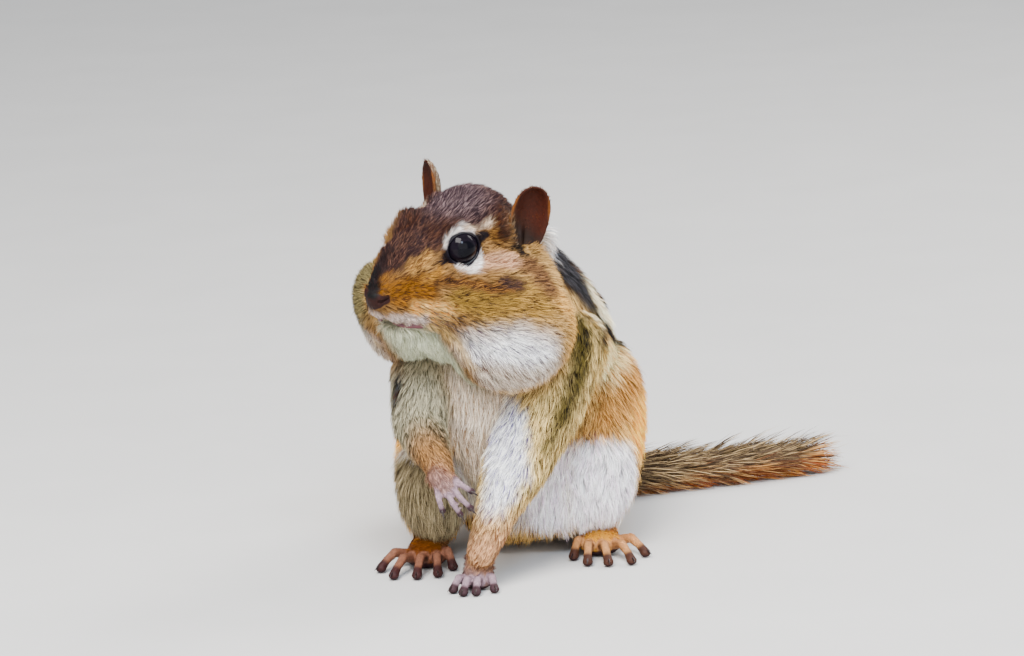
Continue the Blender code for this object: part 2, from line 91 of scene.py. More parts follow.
EAR_NOTCH = Vector((-13.2, 14.0, -6.8))
EAR_RISE = Vector((-0.24, 0.16, 1.0)).normalized()
EAR_FACING = {1: Vector((0.60, 0.80, -0.05)), -1: Vector((0.85, -0.50, 0.05))}
EAR_HEIGHT = 16.5
EAR_HALF_WIDTH = 4.5
EAR_CUP_DEPTH = 2.9
EAR_THICKNESS = 0.5

# Each limb is a list of joints: a centre, a radius out to the coat and the depth of the coat.
LEFT_FORELEG = (
    ((10.5, 27, 50), 12.0, 1.7),
    ((5.5, 19, 39), 11.0, 1.6),
    ((0, 13, 27), 8.2, 1.2),
    ((-5.2, 6.5, 17), 5.3, 0.9),
    ((-8.9, 2.6, 8.8), 4.0, 0.7),
)
RIGHT_FORELEG = (
    ((-18.5, 26, 50), 10.5, 1.7),
    ((-22, 14, 37.5), 6.8, 1.4),
    ((-20.3, 5, 33.5), 4.8, 0.9),
    ((-17.4, -1.5, 29.3), 3.2, 0.5),
)
LEFT_HAUNCH = (
    ((19, 52, 28.5), (12.1, 20, 21), 1.8),
    ((18.5, 34, 19), (9.4, 10, 14), 1.8),
    ((16.3, 46, 9), (7, 8, 7), 1.4),
)
RIGHT_HAUNCH = (
    ((-15.5, 50, 27), (12.6, 20, 20), 1.8),
    ((-19.5, 30, 19), (9.5, 10, 14), 1.8),
    ((-20, 42, 9), (7, 8, 7), 1.4),
)
TAIL = (
    ((6, 80, 10), 5.5, 2.6),
    ((15, 85.0, 6.6), 4.6, 2.4),
    ((27, 87.0, 5.2), 3.8, 2.0),
    ((42, 90.5, 4.8), 3.3, 1.7),
    ((57, 95, 4.6), 2.8, 1.4),
    ((69, 99.5, 4.4), 1.9, 0.8),
)
SPINE = ((-4, 28, 66), (-1, 38, 52), (1, 50, 38), (3, 64, 27), (6, 80, 14))

BODY_VOXEL = 0.55
HEAD_VOXEL = 0.32
FACE_VOXEL = 0.17
PAW_VOXEL = 0.26

RANDOM = np.random.default_rng(SEED)


def unit_ball_points(subdivisions):
    ball = bmesh.new()
    bmesh.ops.create_icosphere(ball, subdivisions=subdivisions, radius=1.0)
    points = [vertex.co.copy() for vertex in ball.verts]
    ball.free()
    return points


FINE_BALL = unit_ball_points(3)
ROUGH_BALL = unit_ball_points(2)


def frame_matrix(origin, forward, left, up):
    turn = Matrix((forward, left, up)).transposed().to_4x4()
    return Matrix.Translation(origin) @ turn


def head_axes():
    """Forward, left and up of the head after its yaw, pitch and roll."""
    level_forward = Vector((-math.sin(HEAD_YAW), -math.cos(HEAD_YAW), 0))
    level_left = Vector((math.cos(HEAD_YAW), -math.sin(HEAD_YAW), 0))
    level_up = Vector((0, 0, 1))
    forward = level_forward * math.cos(HEAD_PITCH) - level_up * math.sin(HEAD_PITCH)
    pitched_up = level_up * math.cos(HEAD_PITCH) + level_forward * math.sin(HEAD_PITCH)
    left = level_left * math.cos(HEAD_ROLL) - pitched_up * math.sin(HEAD_ROLL)
    up = pitched_up * math.cos(HEAD_ROLL) + level_left * math.sin(HEAD_ROLL)
    return forward, left, up


HEAD = frame_matrix(HEAD_ORIGIN, *head_axes())
WORLD = Matrix.Identity(4)


def shift_to_part():
    """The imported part's place, read from its left eye."""
    low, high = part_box("eye_left")
    packed = (Vector(low) + Vector(high)) / 2 / METRES_PER_MM
    return packed - HEAD @ EYE_CENTRE


SHIFT = shift_to_part()
TO_PART = Matrix.Scale(METRES_PER_MM, 4) @ Matrix.Translation(SHIFT)


def on_side(place, side):
    return Vector((place[0], place[1] * side, place[2]))


# Closed forms are hulls of balls, fused into one surface.

def hull(flesh, *balls, frame=WORLD, mirrored=False, points=FINE_BALL):
    """Adds the convex hull of some ellipsoids: (centre, radius or three radii, depth of the coat, if any)."""
    for side in (1, -1) if mirrored else (1,):
        lump = bmesh.new()
        for centre, radii, *depth in balls:
            if isinstance(radii, (int, float)):
                radii = (radii, radii, radii)
            inset = depth[0] if depth else 0.0
            for point in points:
                local = Vector(point[i] * (radii[i] - inset) + centre[i] for i in range(3))
                local.y *= side
                lump.verts.new(frame @ local)
        made = bmesh.ops.convex_hull(lump, input=lump.verts)
        bmesh.ops.delete(lump, geom=made["geom_interior"], context="VERTS")
        bmesh.ops.recalc_face_normals(lump, faces=lump.faces)
        mesh = bpy.data.meshes.new("lump")
        lump.to_mesh(mesh)
        lump.free()
        flesh.from_mesh(mesh)
        bpy.data.meshes.remove(mesh)


def chain(flesh, joints, frame=WORLD, mirrored=False):
    for first, second in zip(joints, joints[1:]):
        hull(flesh, first, second, frame=frame, mirrored=mirrored)


def object_from(flesh, name):
    mesh = bpy.data.meshes.new(name)
    flesh.to_mesh(mesh)
    flesh.free()
    thing = bpy.data.objects.new(name, mesh)
    bpy.context.scene.collection.objects.link(thing)
    return thing


def apply_modifiers(thing):
    bpy.context.view_layer.update()
    graph = bpy.context.evaluated_depsgraph_get()
    mesh = bpy.data.meshes.new_from_object(thing.evaluated_get(graph))
    thing.modifiers.clear()
    old = thing.data
    thing.data = mesh
    bpy.data.meshes.remove(old)


def fused(flesh, name, voxel, smoothing):
    """One closed, softened surface round all the lumps in the mesh."""
    thing = object_from(flesh, name)
    remesh = thing.modifiers.new("fuse", "REMESH")
    remesh.mode = "VOXEL"
    remesh.voxel_size = voxel
    soften = thing.modifiers.new("soften", "SMOOTH")
    soften.factor = 0.5
    soften.iterations = smoothing
    apply_modifiers(thing)
    return thing


def combine(thing, others, operation):
    """Joins closed pieces to the object, or cuts them out of it."""
    for other in others:
        change = thing.modifiers.new("combine", "BOOLEAN")
        change.operation = operation
        change.solver = "MANIFOLD"
        change.object = other
    apply_modifiers(thing)
    for other in others:
        bpy.data.objects.remove(other)


# Fields over many points at once.

def smooth_step(values, low, high):
    share = np.clip((values - low) / (high - low), 0.0, 1.0)
    return share * share * (3 - 2 * share)


def unit(vectors):
    return vectors / np.maximum(np.linalg.norm(vectors, axis=-1, keepdims=True), 1e-9)


def lattice(cells, seed):
    """A repeatable number from 0 to 1 for each whole-number cell."""
    x, y, z = (cells[:, i].astype(np.int64) for i in range(3))
    mixed = (x * 73856093) ^ (y * 19349663) ^ (z * 83492791) ^ (seed * 2654435761)
    mixed = ((mixed ^ (mixed >> 13)) * 1274126177) & 0xFFFFFFFF
    mixed = ((mixed ^ (mixed >> 15)) * 2246822519) & 0xFFFFFFFF
    return ((mixed >> 8) & 0xFFFF) / 0xFFFF


def noise(points, size, seed):
    """Smooth noise from 0 to 1 whose lumps are about that size."""
    scaled = points / size
    cell = np.floor(scaled)
    share = scaled - cell
    share = share * share * (3 - 2 * share)
    total = np.zeros(len(points))
    for corner in product((0, 1), repeat=3):
        weight = np.prod(np.where(corner, share, 1 - share), axis=1)
        total += weight * lattice(cell + corner, seed)
    return total


def noise_vectors(points, size, seed):
    return np.stack([noise(points, size, seed + k) for k in range(3)], axis=1) * 2 - 1


def transform(points, matrix):
    m = np.array(matrix)
    return points @ m[:3, :3].T + m[:3, 3]


def turn_only(vectors, matrix):
    return vectors @ np.array(matrix)[:3, :3].T


def from_path(points, path):
    """Signed distance to a path of (place, radius) joints, the way along it and the share of it passed."""
    gap = np.full(len(points), 1e9)
    way = np.zeros((len(points), 3))
    share = np.zeros(len(points))
    spans = len(path) - 1
    for k in range(spans):
        start, start_radius = np.array(path[k][0], float), path[k][1]
        end, end_radius = np.array(path[k + 1][0], float), path[k + 1][1]
        span = end - start
        passed = np.clip((points - start) @ span / (span @ span), 0, 1)
        away = np.linalg.norm(points - start - passed[:, None] * span, axis=1)
        here = away - (start_radius + (end_radius - start_radius) * passed)
        nearer = here < gap
        gap[nearer] = here[nearer]
        way[nearer] = span / np.linalg.norm(span)
        share[nearer] = (k + passed[nearer]) / spans
    return gap, way, share


def path_gap(points, path):
    """Signed distance from each point to a tapered path of (place, radius) joints, or to a single ball."""
    if len(path) == 1:
        centre, radius = path[0]
        return np.linalg.norm(points - centre, axis=1) - radius
    gap = np.full(len(points), 1e9)
    for (start, first), (end, last) in zip(path, path[1:]):
        start = np.array(start, float)
        span = np.array(end, float) - start
        passed = np.clip((points - start) @ span / (span @ span), 0, 1)
        away = points - start - passed[:, None] * span
        distance = np.sqrt(np.einsum("ij,ij->i", away, away))
        np.minimum(gap, distance - first - (last - first) * passed, out=gap)
    return gap


def near(points, path, soft):
    """1 within the path's radius and 0 outside, softened at the edge."""
    return 1 - smooth_step(path_gap(points, path), -soft, soft)


def from_balls(points, balls):
    """Signed distance to the nearest of some ellipsoids."""
    gap = np.full(len(points), 1e9)
    for centre, radii in balls:
        scaled = (points - centre) / radii
        inner = np.linalg.norm(scaled, axis=1)
        outer = np.linalg.norm(scaled / radii, axis=1)
        gap = np.minimum(gap, inner * (inner - 1) / np.maximum(outer, 1e-9))
    return gap


# The head. Each lump is a centre, its radii out to the coat and the depth of the coat.

HEAD_LUMPS = {
    "braincase": ((-11.0, 0, -2.4), (12.0, 11.6, 10.8), 0.9),
    "forehead": ((-1.5, 0, -2.0), (9.5, 8.6, 9.0), 0.8),
    "bridge": ((12.0, 0, -2.0), (6.4, 6.8, 6.6), 0.6),
    "nose_top": ((19.2, 0, -3.9), (3.5, 3.9, 3.5), 0.4),
    "nose_tip": ((20.9, 0, -5.6), (3.1, 3.4, 3.3), 0.3),
    "lip": ((15.0, 2.8, -10.4), (4.4, 3.7, 4.0), 0.5),
    "cheek": ((5.0, 7.0, -11.0), (8.0, 6.0, 8.0), 0.9),
    "cheekbone": ((-3.0, 6.5, -7.0), (9.0, 6.0, 7.5), 0.9),
    "chin": ((11.0, 0, -16.6), (4.4, 4.8, 3.4), 0.8),
    "throat": ((-3.0, 0, -21.0), (12.0, 12.0, 10.0), 1.5),
    "pouch_back": ((-6.5, 12.8, -22.4), (16.0, 15.2, 14.6), 1.4),
    "pouch_top": ((-14.0, 8.0, -10.0), (11.0, 6.8, 9.5), 1.3),
    "ear_base": ((-11.0, 10.0, -1.5), (3.4, 3.6, 6.0), 0.7),
    "temple": ((-11.0, 7.0, 0.0), (6.0, 6.0, 6.0), 0.9),
    "lids": (EYE_CENTRE, (4.65, 4.65, 4.65), 0.0),
}
# The right cheek is fuller in front, and the brow over the right eye is lower.
RIGHT_CHEEK = ((6.0, -10.5, -15.0), (8.5, 10.2, 11.0), 1.3)
RIGHT_POUCH = ((-6.5, -12.8, -22.4), (16.0, 15.2, 14.6), 1.4)
RIGHT_BROW = (((5.6, -6.2, 1.0), (3.3, 3.3, 3.3), 0.6), ((1.5, -6.8, 3.9), (2.8, 2.8, 2.8), 0.5))
HEAD_HULLS = (
    ("braincase", "forehead"),
    ("forehead", "bridge"),
    ("bridge", "nose_top", "nose_tip"),
    ("lip", "cheek", "bridge"),
    ("chin", "throat"),
    ("cheek", "cheekbone", "pouch_back", "pouch_top"),
    ("ear_base", "temple"),
    ("lids", "forehead"),
)


def head_flesh(flesh):
    for names in HEAD_HULLS:
        lumps = [HEAD_LUMPS[name] for name in names]
        middle = all(centre[1] == 0 for centre, radii, depth in lumps)
        hull(flesh, *lumps, frame=HEAD, mirrored=not middle)
    hull(flesh, RIGHT_CHEEK, RIGHT_POUCH, frame=HEAD)
    hull(flesh, *RIGHT_BROW, HEAD_LUMPS["forehead"], frame=HEAD)


TRUNK_LUMPS = {
    "pelvis": ((3, 62, 26), (24, 24, 26.8), 1.8),
    "belly": ((-1, 42, 26), (21, 20, 26), 1.8),
    "ribs": ((1.0, 45, 47.7), (23.5, 20, 21.5), 1.8),
    "breast": ((-6, 22, 46), (14, 11, 18), 1.8),
    "shoulders": ((-0.7, 33, 60), (19.8, 15, 15), 1.8),
    "nape": ((-4.5, 27, 72), (14.0, 12.5, 12), 1.8),
    "ear_tuft": ((5.2, 21.5, 76), (5.2, 5.2, 5.2), 1.6),
    "groin": ((6, 33.5, 17), (8, 9.5, 13), 1.8),
    "rump": ((7, 80, 14), (12, 10, 12), 1.8),
}


def trunk_flesh(flesh):
    lumps = TRUNK_LUMPS
    for names in (
        ("pelvis", "belly", "ribs"),
        ("ribs", "shoulders"),
        ("breast", "shoulders"),
        ("breast", "belly"),
        ("shoulders", "nape"),
        ("nape", "ear_tuft"),
        ("pelvis", "rump"),
    ):
        hull(flesh, *(lumps[name] for name in names))
    for limb in (LEFT_FORELEG, RIGHT_FORELEG, LEFT_HAUNCH, RIGHT_HAUNCH, TAIL):
        chain(flesh, limb)
    hull(flesh, lumps["groin"], LEFT_HAUNCH[1])


# The eyes.

def eye_frame(side):
    """Its z axis looks out of the eye, x points towards the nose and y up or down."""
    axis = on_side(EYE_AXIS, side)
    ahead = EYE_FRONT
    ahead = (ahead - axis * ahead.dot(axis)).normalized()
    return HEAD @ frame_matrix(on_side(EYE_CENTRE, side), ahead, axis.cross(ahead), axis)


def eye_cutters(side):
    centre = on_side(EYE_CENTRE, side)
    socket = bmesh.new()
    hull(socket, (centre, EYE_RADIUS + 0.12), frame=HEAD)
    opening = bmesh.new()
    near_end, far_end = 1.6, 9.0
    place = eye_frame(side) @ Matrix.Translation((0, 0, (near_end + far_end) / 2))
    bmesh.ops.create_cone(
        opening,
        cap_ends=True,
        segments=48,
        radius1=EYE_OPENING,
        radius2=EYE_OPENING * 1.7,
        depth=far_end - near_end,
        matrix=place,
    )
    return [object_from(socket, "socket"), object_from(opening, "opening")]


def eyeball(side, name):
    """A glossy ball with a slightly raised cornea, an iris and a wide pupil."""
    flesh = bmesh.new()
    bmesh.ops.create_uvsphere(flesh, u_segments=64, v_segments=40, radius=EYE_RADIUS)
    shade = flesh.verts.layers.float_color.new("coat")
    for vertex in flesh.verts:
        from_axis = math.acos(max(-1.0, min(1.0, vertex.co.z / EYE_RADIUS)))
        bulge = 0.22 * math.exp(-((from_axis / math.radians(34)) ** 2))
        vertex.co *= 1 + bulge / EYE_RADIUS
        iris = smooth_step(from_axis, math.radians(26), math.radians(32))
        iris *= 1 - smooth_step(from_axis, math.radians(52), math.radians(62))
        colour = PUPIL * (1 - iris) + IRIS * iris
        vertex[shade] = (*colour, 1.0)
    flesh.transform(TO_PART @ eye_frame(side))
    thing = object_from(flesh, name)
    thing.data.shade_smooth()
    return thing


LID_ANGLE = math.radians(64)
FRONT_CORNER = 0.34
REAR_CORNER = 0.26
LID_STEPS_AROUND = 72
LID_STEPS_ACROSS = 10


def lid_point(side, angle):
    """A point on the rim of the lids. The angle runs from the front corner round the eye."""
    front = max(0.0, math.cos(angle)) ** 12
    rear = max(0.0, -math.cos(angle)) ** 12
    opened = LID_ANGLE + front * FRONT_CORNER + rear * REAR_CORNER
    away = Vector((math.cos(angle) * math.sin(opened), math.sin(angle) * math.sin(opened) * 0.97, 0))
    away.z = math.sqrt(max(0.0, 1 - away.length_squared))
    if opened > math.pi / 2:
        away.z = math.cos(opened)
    return eye_frame(side) @ (away * (EYE_RADIUS + 0.16))


def lid_rim(side):
    """A soft dark rim that hugs the eyeball and runs out to a point in front and behind."""
    flesh = bmesh.new()
    centre = HEAD @ on_side(EYE_CENTRE, side)
    rows = []
    for k in range(LID_STEPS_AROUND):
        angle = 2 * math.pi * k / LID_STEPS_AROUND
        corner = abs(math.cos(angle)) ** 8
        middle = lid_point(side, angle)
        along = (lid_point(side, angle + 0.02) - middle).normalized()
        out = (middle - centre).normalized()
        across_rim = along.cross(out)
        half_width = 0.40 + 0.12 * corner
        half_depth = 0.30
        row = []
        for j in range(LID_STEPS_ACROSS):
            turn = 2 * math.pi * j / LID_STEPS_ACROSS
            offset = across_rim * half_width * math.cos(turn) + out * half_depth * math.sin(turn)
            row.append(flesh.verts.new(middle + offset))
        rows.append(row)
    for k in range(LID_STEPS_AROUND):
        low, high = rows[k], rows[(k + 1) % LID_STEPS_AROUND]
        for j in range(LID_STEPS_ACROSS):
            i = (j + 1) % LID_STEPS_ACROSS
            flesh.faces.new((low[j], low[i], high[i], high[j]))
    bmesh.ops.recalc_face_normals(flesh, faces=flesh.faces)
    return flesh


# The ears are thin cups with a fold inside.

def ear_frame(side):
    rise = on_side(EAR_RISE, side)
    facing = EAR_FACING[side]
    facing = (facing - rise * facing.dot(rise)).normalized()
    return HEAD @ frame_matrix(on_side(EAR_NOTCH, side), facing, rise.cross(facing), rise)


def ear(side, name):
    flesh = bmesh.new()
    across, along = 30, 28
    widest, below, above = 0.62, 0.65, 0.395
    rows = []
    for j in range(along + 1):
        up = j / along
        reach = below if up < widest else above
        half = EAR_HALF_WIDTH * math.sqrt(1 - ((up - widest) / reach) ** 2)
        row = []
        for i in range(across + 1):
            u = 2 * i / across - 1
            curl = EAR_CUP_DEPTH * (u * u - 1) * half / EAR_HALF_WIDTH
            fold = 0.9 * math.exp(-(((u + 0.30) / 0.16) ** 2) - ((up - 0.24) / 0.14) ** 2)
            rim = 0.35 * smooth_step(abs(u), 0.80, 1.0)
            row.append(flesh.verts.new((curl + fold - rim, u * half, EAR_HEIGHT * up)))
        rows.append(row)
    for low, high in zip(rows, rows[1:]):
        for i in range(across):
            flesh.faces.new((low[i], low[i + 1], high[i + 1], high[i]))
    bmesh.ops.recalc_face_normals(flesh, faces=flesh.faces)
    thing = object_from(flesh, name)
    sheet = thing.modifiers.new("thickness", "SOLIDIFY")
    sheet.thickness = EAR_THICKNESS
    sheet.offset = 0.0
    remesh = thing.modifiers.new("round", "REMESH")
    remesh.mode = "VOXEL"
    remesh.voxel_size = 0.16
    soften = thing.modifiers.new("soften", "SMOOTH")
    soften.iterations = 4
    apply_modifiers(thing)
    thing.data.transform(ear_frame(side))
    return thing


def ear_hollow(side):
    flesh = bmesh.new()
    hull(flesh, ((0.5, 0, 8.0), (2.7, 3.6, 7.4)), frame=ear_frame(side))
    return object_from(flesh, "hollow")


# The nose, lips and chin, modelled finely and joined to the head.

LIP_LINE = (
    ((20.4, 0.0, -11.9), 0.0),
    ((19.5, 1.7, -12.4), 0.0),
    ((17.7, 4.1, -13.1), 0.0),
    ((15.8, 5.9, -13.8), 0.0),
    ((14.2, 6.8, -14.5), 0.0),
)


def face_flesh():
    flesh = bmesh.new()
    lumps = HEAD_LUMPS
    hull(flesh, ((13.0, 0, -3.2), (5.4, 5.4, 5.2), 0.6), lumps["nose_top"], lumps["nose_tip"], frame=HEAD)
    muzzle_side = ((14.8, 3.0, -8.2), (4.2, 3.9, 3.9), 0.5)
    upper_lip = ((17.2, 2.3, -9.9), (3.6, 2.9, 2.8), 0.4)
    hull(flesh, muzzle_side, upper_lip, lumps["nose_tip"], frame=HEAD, mirrored=True)
    lower_lip = ((15.6, 1.2, -13.8), (3.2, 2.6, 1.7), 0.4)
    chin = ((11.5, 0.0, -15.6), (4.0, 4.2, 3.0), 0.8)
    hull(flesh, lower_lip, chin, frame=HEAD, mirrored=True)
    pad = ((22.2, 0, -5.1), (1.5, 2.2, 2.2))
    lobe = ((21.6, 1.7, -4.8), (1.5, 1.35, 1.7))
    hull(flesh, pad, lobe, frame=HEAD, mirrored=True)
    hull(flesh, ((21.1, 2.5, -3.8), (1.3, 0.8, 1.0)), lobe, frame=HEAD, mirrored=True)
    return flesh


def face_cutters():
    """Comma-shaped nostrils and the groove under the nose."""
    nostrils = bmesh.new()
    hole = ((23.2, 2.25, -5.1), (1.0, 0.62, 0.5))
    slit = ((21.8, 3.35, -4.7), (1.1, 0.7, 0.28))
    hull(nostrils, hole, slit, frame=HEAD, mirrored=True)
    groove = bmesh.new()
    hull(groove, ((24.1, 0, -6.2), (0.6, 0.16, 0.8)), ((21.3, 0, -10.6), (0.9, 0.2, 0.9)), frame=HEAD)
    return [object_from(nostrils, "nostrils"), object_from(groove, "groove")]


# The paws. Each digit is (root forward, root sideways, spread in degrees, length).
# A positive side is the animal's outer side.

LIFTED_DIGITS = ((3.0, -2.3, -20, 5.0), (4.2, -0.8, -6, 6.8), (4.1, 0.8, 5, 6.6), (2.6, 2.3, 24, 5.2))
PLANTED_DIGITS = ((3.0, -2.8, -32, 5.0), (4.2, -1.2, -14, 6.2), (4.0, 0.6, -2, 6.0), (2.6, 2.8, 20, 5.0))
HINDFOOT_DIGITS = (
    (16.5, -3.9, -24, 8.6),
    (20.4, -2.9, -9, 10.4),
    (21.4, -0.2, 3, 11.0),
    (20.7, 2.6, 17, 12.2),
    (17.0, 4.2, 36, 10.6),
)
CLAWS = []
DIGITS = []
PALMS = []
COAT_ON_PAWS = 0.15


def digit(flesh, place, outer, root, radius, height, arch, drop):
    """A digit with a knuckle, a rounded pad under its tip and a curved claw."""
    forward, sideways, spread, length = root
    angle = math.radians(spread * outer)
    start = Vector((forward, sideways * outer, height))
    along = Vector((math.cos(angle), math.sin(angle), 0))
    up = Vector((0, 0, 1))
    knuckle = start + along * length * 0.42 + up * arch
    joint = start + along * length * 0.68 + up * (arch * 0.35 - drop * 0.3)
    tip = start + along * length * 0.86 - up * drop
    slim = radius - COAT_ON_PAWS
    joints = ((start, slim), (knuckle, slim * 0.86), (joint, slim * 0.74), (tip, slim * 0.92))
    chain(flesh, joints, frame=place)
    pad = tip - up * slim * 0.12 + along * 0.1
    hull(flesh, (pad, (slim * 1.0, slim * 1.02, slim * 0.82)), frame=place)
    DIGITS.append([(place @ centre, size) for centre, size in joints])
    root_of_claw = tip + along * radius * 0.45 + up * radius * 0.38
    CLAWS.append((place, root_of_claw, along, radius))


def paw_part(flesh, name, place, palm):
    PALMS.append((place, palm))
    paw = fused(flesh, name, PAW_VOXEL, 4)
    return paw


def hindfoot(side, heel, toward, name):
    up = Vector((0, 0, 1))
    forward = (Vector(toward) - Vector(heel)).normalized()
    place = frame_matrix(Vector(heel), forward, up.cross(forward), up)
    flesh = bmesh.new()
    heel_ball = ((1.0, 0, 3.0), (3.6, 3.4, 3.3), 0.5)
    instep = ((10.0, 0, 4.0), (5.0, 4.2, 3.7), 0.4)
    ball_of_foot = ((19.0, -0.2 * side, 2.6), (4.4, 5.2, 3.0), 0.25)
    hull(flesh, heel_ball, instep, frame=place)
    hull(flesh, instep, ball_of_foot, frame=place)
    for root in HINDFOOT_DIGITS:
        digit(flesh, place, side, root, radius=1.4, height=2.6, arch=1.3, drop=1.35)
    ends = ((1.0, 0, 3.0), 3.0), ((10.0, 0, 4.0), 4.0), ((19.5, 0, 2.4), 4.4)
    return paw_part(flesh, name, place, ends)


def planted_forepaw(name):
    up = Vector((0, 0, 1))
    forward = Vector((-0.12, -1.0, 0)).normalized()
    place = frame_matrix(Vector((-10.0, 5.8, 0)), forward, up.cross(forward), up)
    flesh = bmesh.new()
    wrist = ((-0.2, 0.3, 6.2), (3.1, 3.5, 3.0), 0.4)
    palm = ((3.0, 0, 1.9), (3.0, 3.8, 2.1), 0.2)
    hull(flesh, wrist, palm, frame=place)
    for root in PLANTED_DIGITS:
        digit(flesh, place, 1, root, radius=1.3, height=1.9, arch=1.2, drop=0.8)
    return paw_part(flesh, name, place, (((-0.2, 0.3, 6.2), 2.9), ((3.0, 0, 1.9), 3.0)))


def lifted_forepaw(name):
    forward = Vector((0.54, -0.30, -0.79)).normalized()
    up = Vector((-0.15, -1.0, 0.20))
    up = (up - forward * up.dot(forward)).normalized()
    place = frame_matrix(Vector((-17.8, -3.2, 28.4)), forward, up.cross(forward), up)
    flesh = bmesh.new()
    wrist = ((-0.4, 0, 0), (2.6, 2.8, 2.3), 0.3)
    palm = ((3.0, 0, 0), (2.6, 3.0, 1.7), 0.2)
    hull(flesh, wrist, palm, frame=place)
    for root in LIFTED_DIGITS:
        digit(flesh, place, -1, root, radius=0.95, height=0, arch=0.6, drop=0.9)
    return paw_part(flesh, name, place, (((-0.4, 0, 0), 2.6), ((3.0, 0, 0), 2.4)))


def claws():
    """Small curved cones, one on each digit."""
    flesh = bmesh.new()
    around, along_steps = 8, 6
    length, root_radius = 2.1, 0.42
    for place, root, along, radius in CLAWS:
        side = Vector((0, 0, 1)).cross(along)
        rings = []
        for k in range(along_steps):
            share = k / along_steps
            centre = root + along * length * share - Vector((0, 0, 0.75)) * share**2 - along * 0.35
            size = root_radius * (1 - share) ** 0.7
            ring = []
            for j in range(around):
                turn = 2 * math.pi * j / around
                offset = side * 0.8 * math.cos(turn) + Vector((0, 0, 1.1)) * math.sin(turn)
                ring.append(flesh.verts.new(place @ (centre + offset * size)))
            rings.append(ring)
        end = flesh.verts.new(place @ (root + along * length - Vector((0, 0, 0.75)) - along * 0.35))
        for low, high in zip(rings, rings[1:]):
            for j in range(around):
                i = (j + 1) % around
                flesh.faces.new((low[j], low[i], high[i], high[j]))
        for j in range(around):
            flesh.faces.new((rings[-1][j], rings[-1][(j + 1) % around], end))
        flesh.faces.new(rings[0][::-1])
    bmesh.ops.recalc_face_normals(flesh, faces=flesh.faces)
    flesh.transform(TO_PART)
    thing = object_from(flesh, "claws")
    thing.data.shade_smooth()
    return thing


# Colours, as the eye sees them from 0 to 255 in the finished picture.

LIGHT_ON_COAT = 0.85
TONE_POWER = 1.54


def seen(red, green, blue):
    """The reflectance that looks like this colour under the studio's lights."""
    value = np.array((red, green, blue)) / 255
    light = np.where(value <= 0.04045, value / 12.92, ((value + 0.055) / 1.055) ** 2.4)
    return np.clip((light / LIGHT_ON_COAT) ** TONE_POWER, 0.0015, 0.93)


WHITE = seen(240, 236, 238)
CREAM = seen(230, 218, 194)
THROAT = seen(206, 208, 190)
BUFF = seen(208, 184, 144)
TAN = seen(182, 148, 102)
OCHRE = seen(196, 146, 78)
MUZZLE_ORANGE = seen(152, 112, 32)
MUZZLE_BROWN = seen(88, 62, 20)
RUST = seen(156, 92, 42)
BROWN = seen(112, 80, 54)
DARK_BROWN = seen(62, 44, 34)
CROWN_BROWN = seen(66, 44, 46)
VIOLET_GREY = seen(76, 60, 66)
NAPE_GREY = seen(92, 90, 94)
GREY = seen(122, 120, 110)
OLIVE = seen(126, 114, 66)
BLACK = seen(34, 30, 32)
NOSE_SKIN = seen(66, 38, 32)
NOSE_BLACK = seen(24, 15, 14)
LIP_SKIN = seen(112, 70, 76)
EAR_SKIN = seen(86, 44, 8)
# Near-black painted shade for the hollow at the bottom of the ear cup and the ear's notch.
EAR_SHADE = seen(26, 12, 14)
HIND_TOE = seen(214, 170, 126)
# Painted shade for the toes of the right hind foot.
SHADED_TOE = seen(168, 128, 108)
FORE_TOE = seen(186, 166, 174)
# Toe sides: partly their own dark colour, partly painted shade between the toes.
TOE_SIDE = seen(86, 54, 54)
PAD_SKIN = seen(70, 38, 46)
LID_SKIN = seen(38, 26, 46)
CLAW_HORN = seen(62, 38, 38)
PUPIL = np.array((0.0015, 0.0015, 0.003))
IRIS = np.array((0.005, 0.0035, 0.006))


class Coat:
    """What grows at each of many places.

    ground and tick are the two hair colours, share is how many hairs are ticked, bare is 1 on naked skin,
    and length, width (millimetres) and lift (degrees at the root) are the hairs' own.
    """

    FIELDS = ("ground", "tick", "share", "bare", "length", "width", "lift")

    def __init__(self, count):
        self.ground = np.tile(TAN, (count, 1))
        self.tick = np.tile(DARK_BROWN, (count, 1))
        self.share = np.full(count, 0.2)
        self.bare = np.zeros(count)
        self.length = np.full(count, 4.0)
        self.width = np.full(count, 0.2)
        self.lift = np.full(count, 36.0)

    def lay(self, mask, **values):
        for name, value in values.items():
            old = getattr(self, name)
            amount = mask[:, None] if old.ndim == 2 else mask
            setattr(self, name, old + (np.asarray(value) - old) * amount)

    def taken(self, index):
        part = Coat(0)
        for field in self.FIELDS:
            setattr(part, field, getattr(self, field)[index])
        return part

    def put(self, index, part):
        for field in self.FIELDS:
            getattr(self, field)[index] = getattr(part, field)


REGIONS = (
    "head",
    "trunk",
    "foreleg_left",
    "foreleg_right",
    "haunch_left",
    "haunch_right",
    "tail",
    "paws",
    "ear_left",
    "ear_right",
)


def fuller(lumps, joined):
    """The lumps' ellipsoids, with one more between each pair of joined lumps."""
    balls = [(np.array(centre), np.array(radii)) for centre, radii, depth in lumps.values()]
    for first, second in joined:
        a, b = lumps[first], lumps[second]
        balls.append(((np.array(a[0]) + b[0]) / 2, (np.array(a[1]) + b[1]) / 2))
    return balls


def gap_to_paws(points):
    gap = np.full(len(points), 1e9)
    for joints in DIGITS:
        gap = np.minimum(gap, path_gap(points, joints))
    for place, ends in PALMS:
        palm = [(place @ Vector(centre), radius) for centre, radius in ends]
        gap = np.minimum(gap, path_gap(points, palm))
    return gap


def gap_to_ear(points, side):
    local = transform(points, ear_frame(side).inverted())
    size = np.array((2.6, EAR_HALF_WIDTH, EAR_HEIGHT / 2))
    gap = from_balls(local, [(np.array((-1.4, 0, EAR_HEIGHT / 2)), size)])
    return np.where(local[:, 2] > 2.2, gap, 9.0)


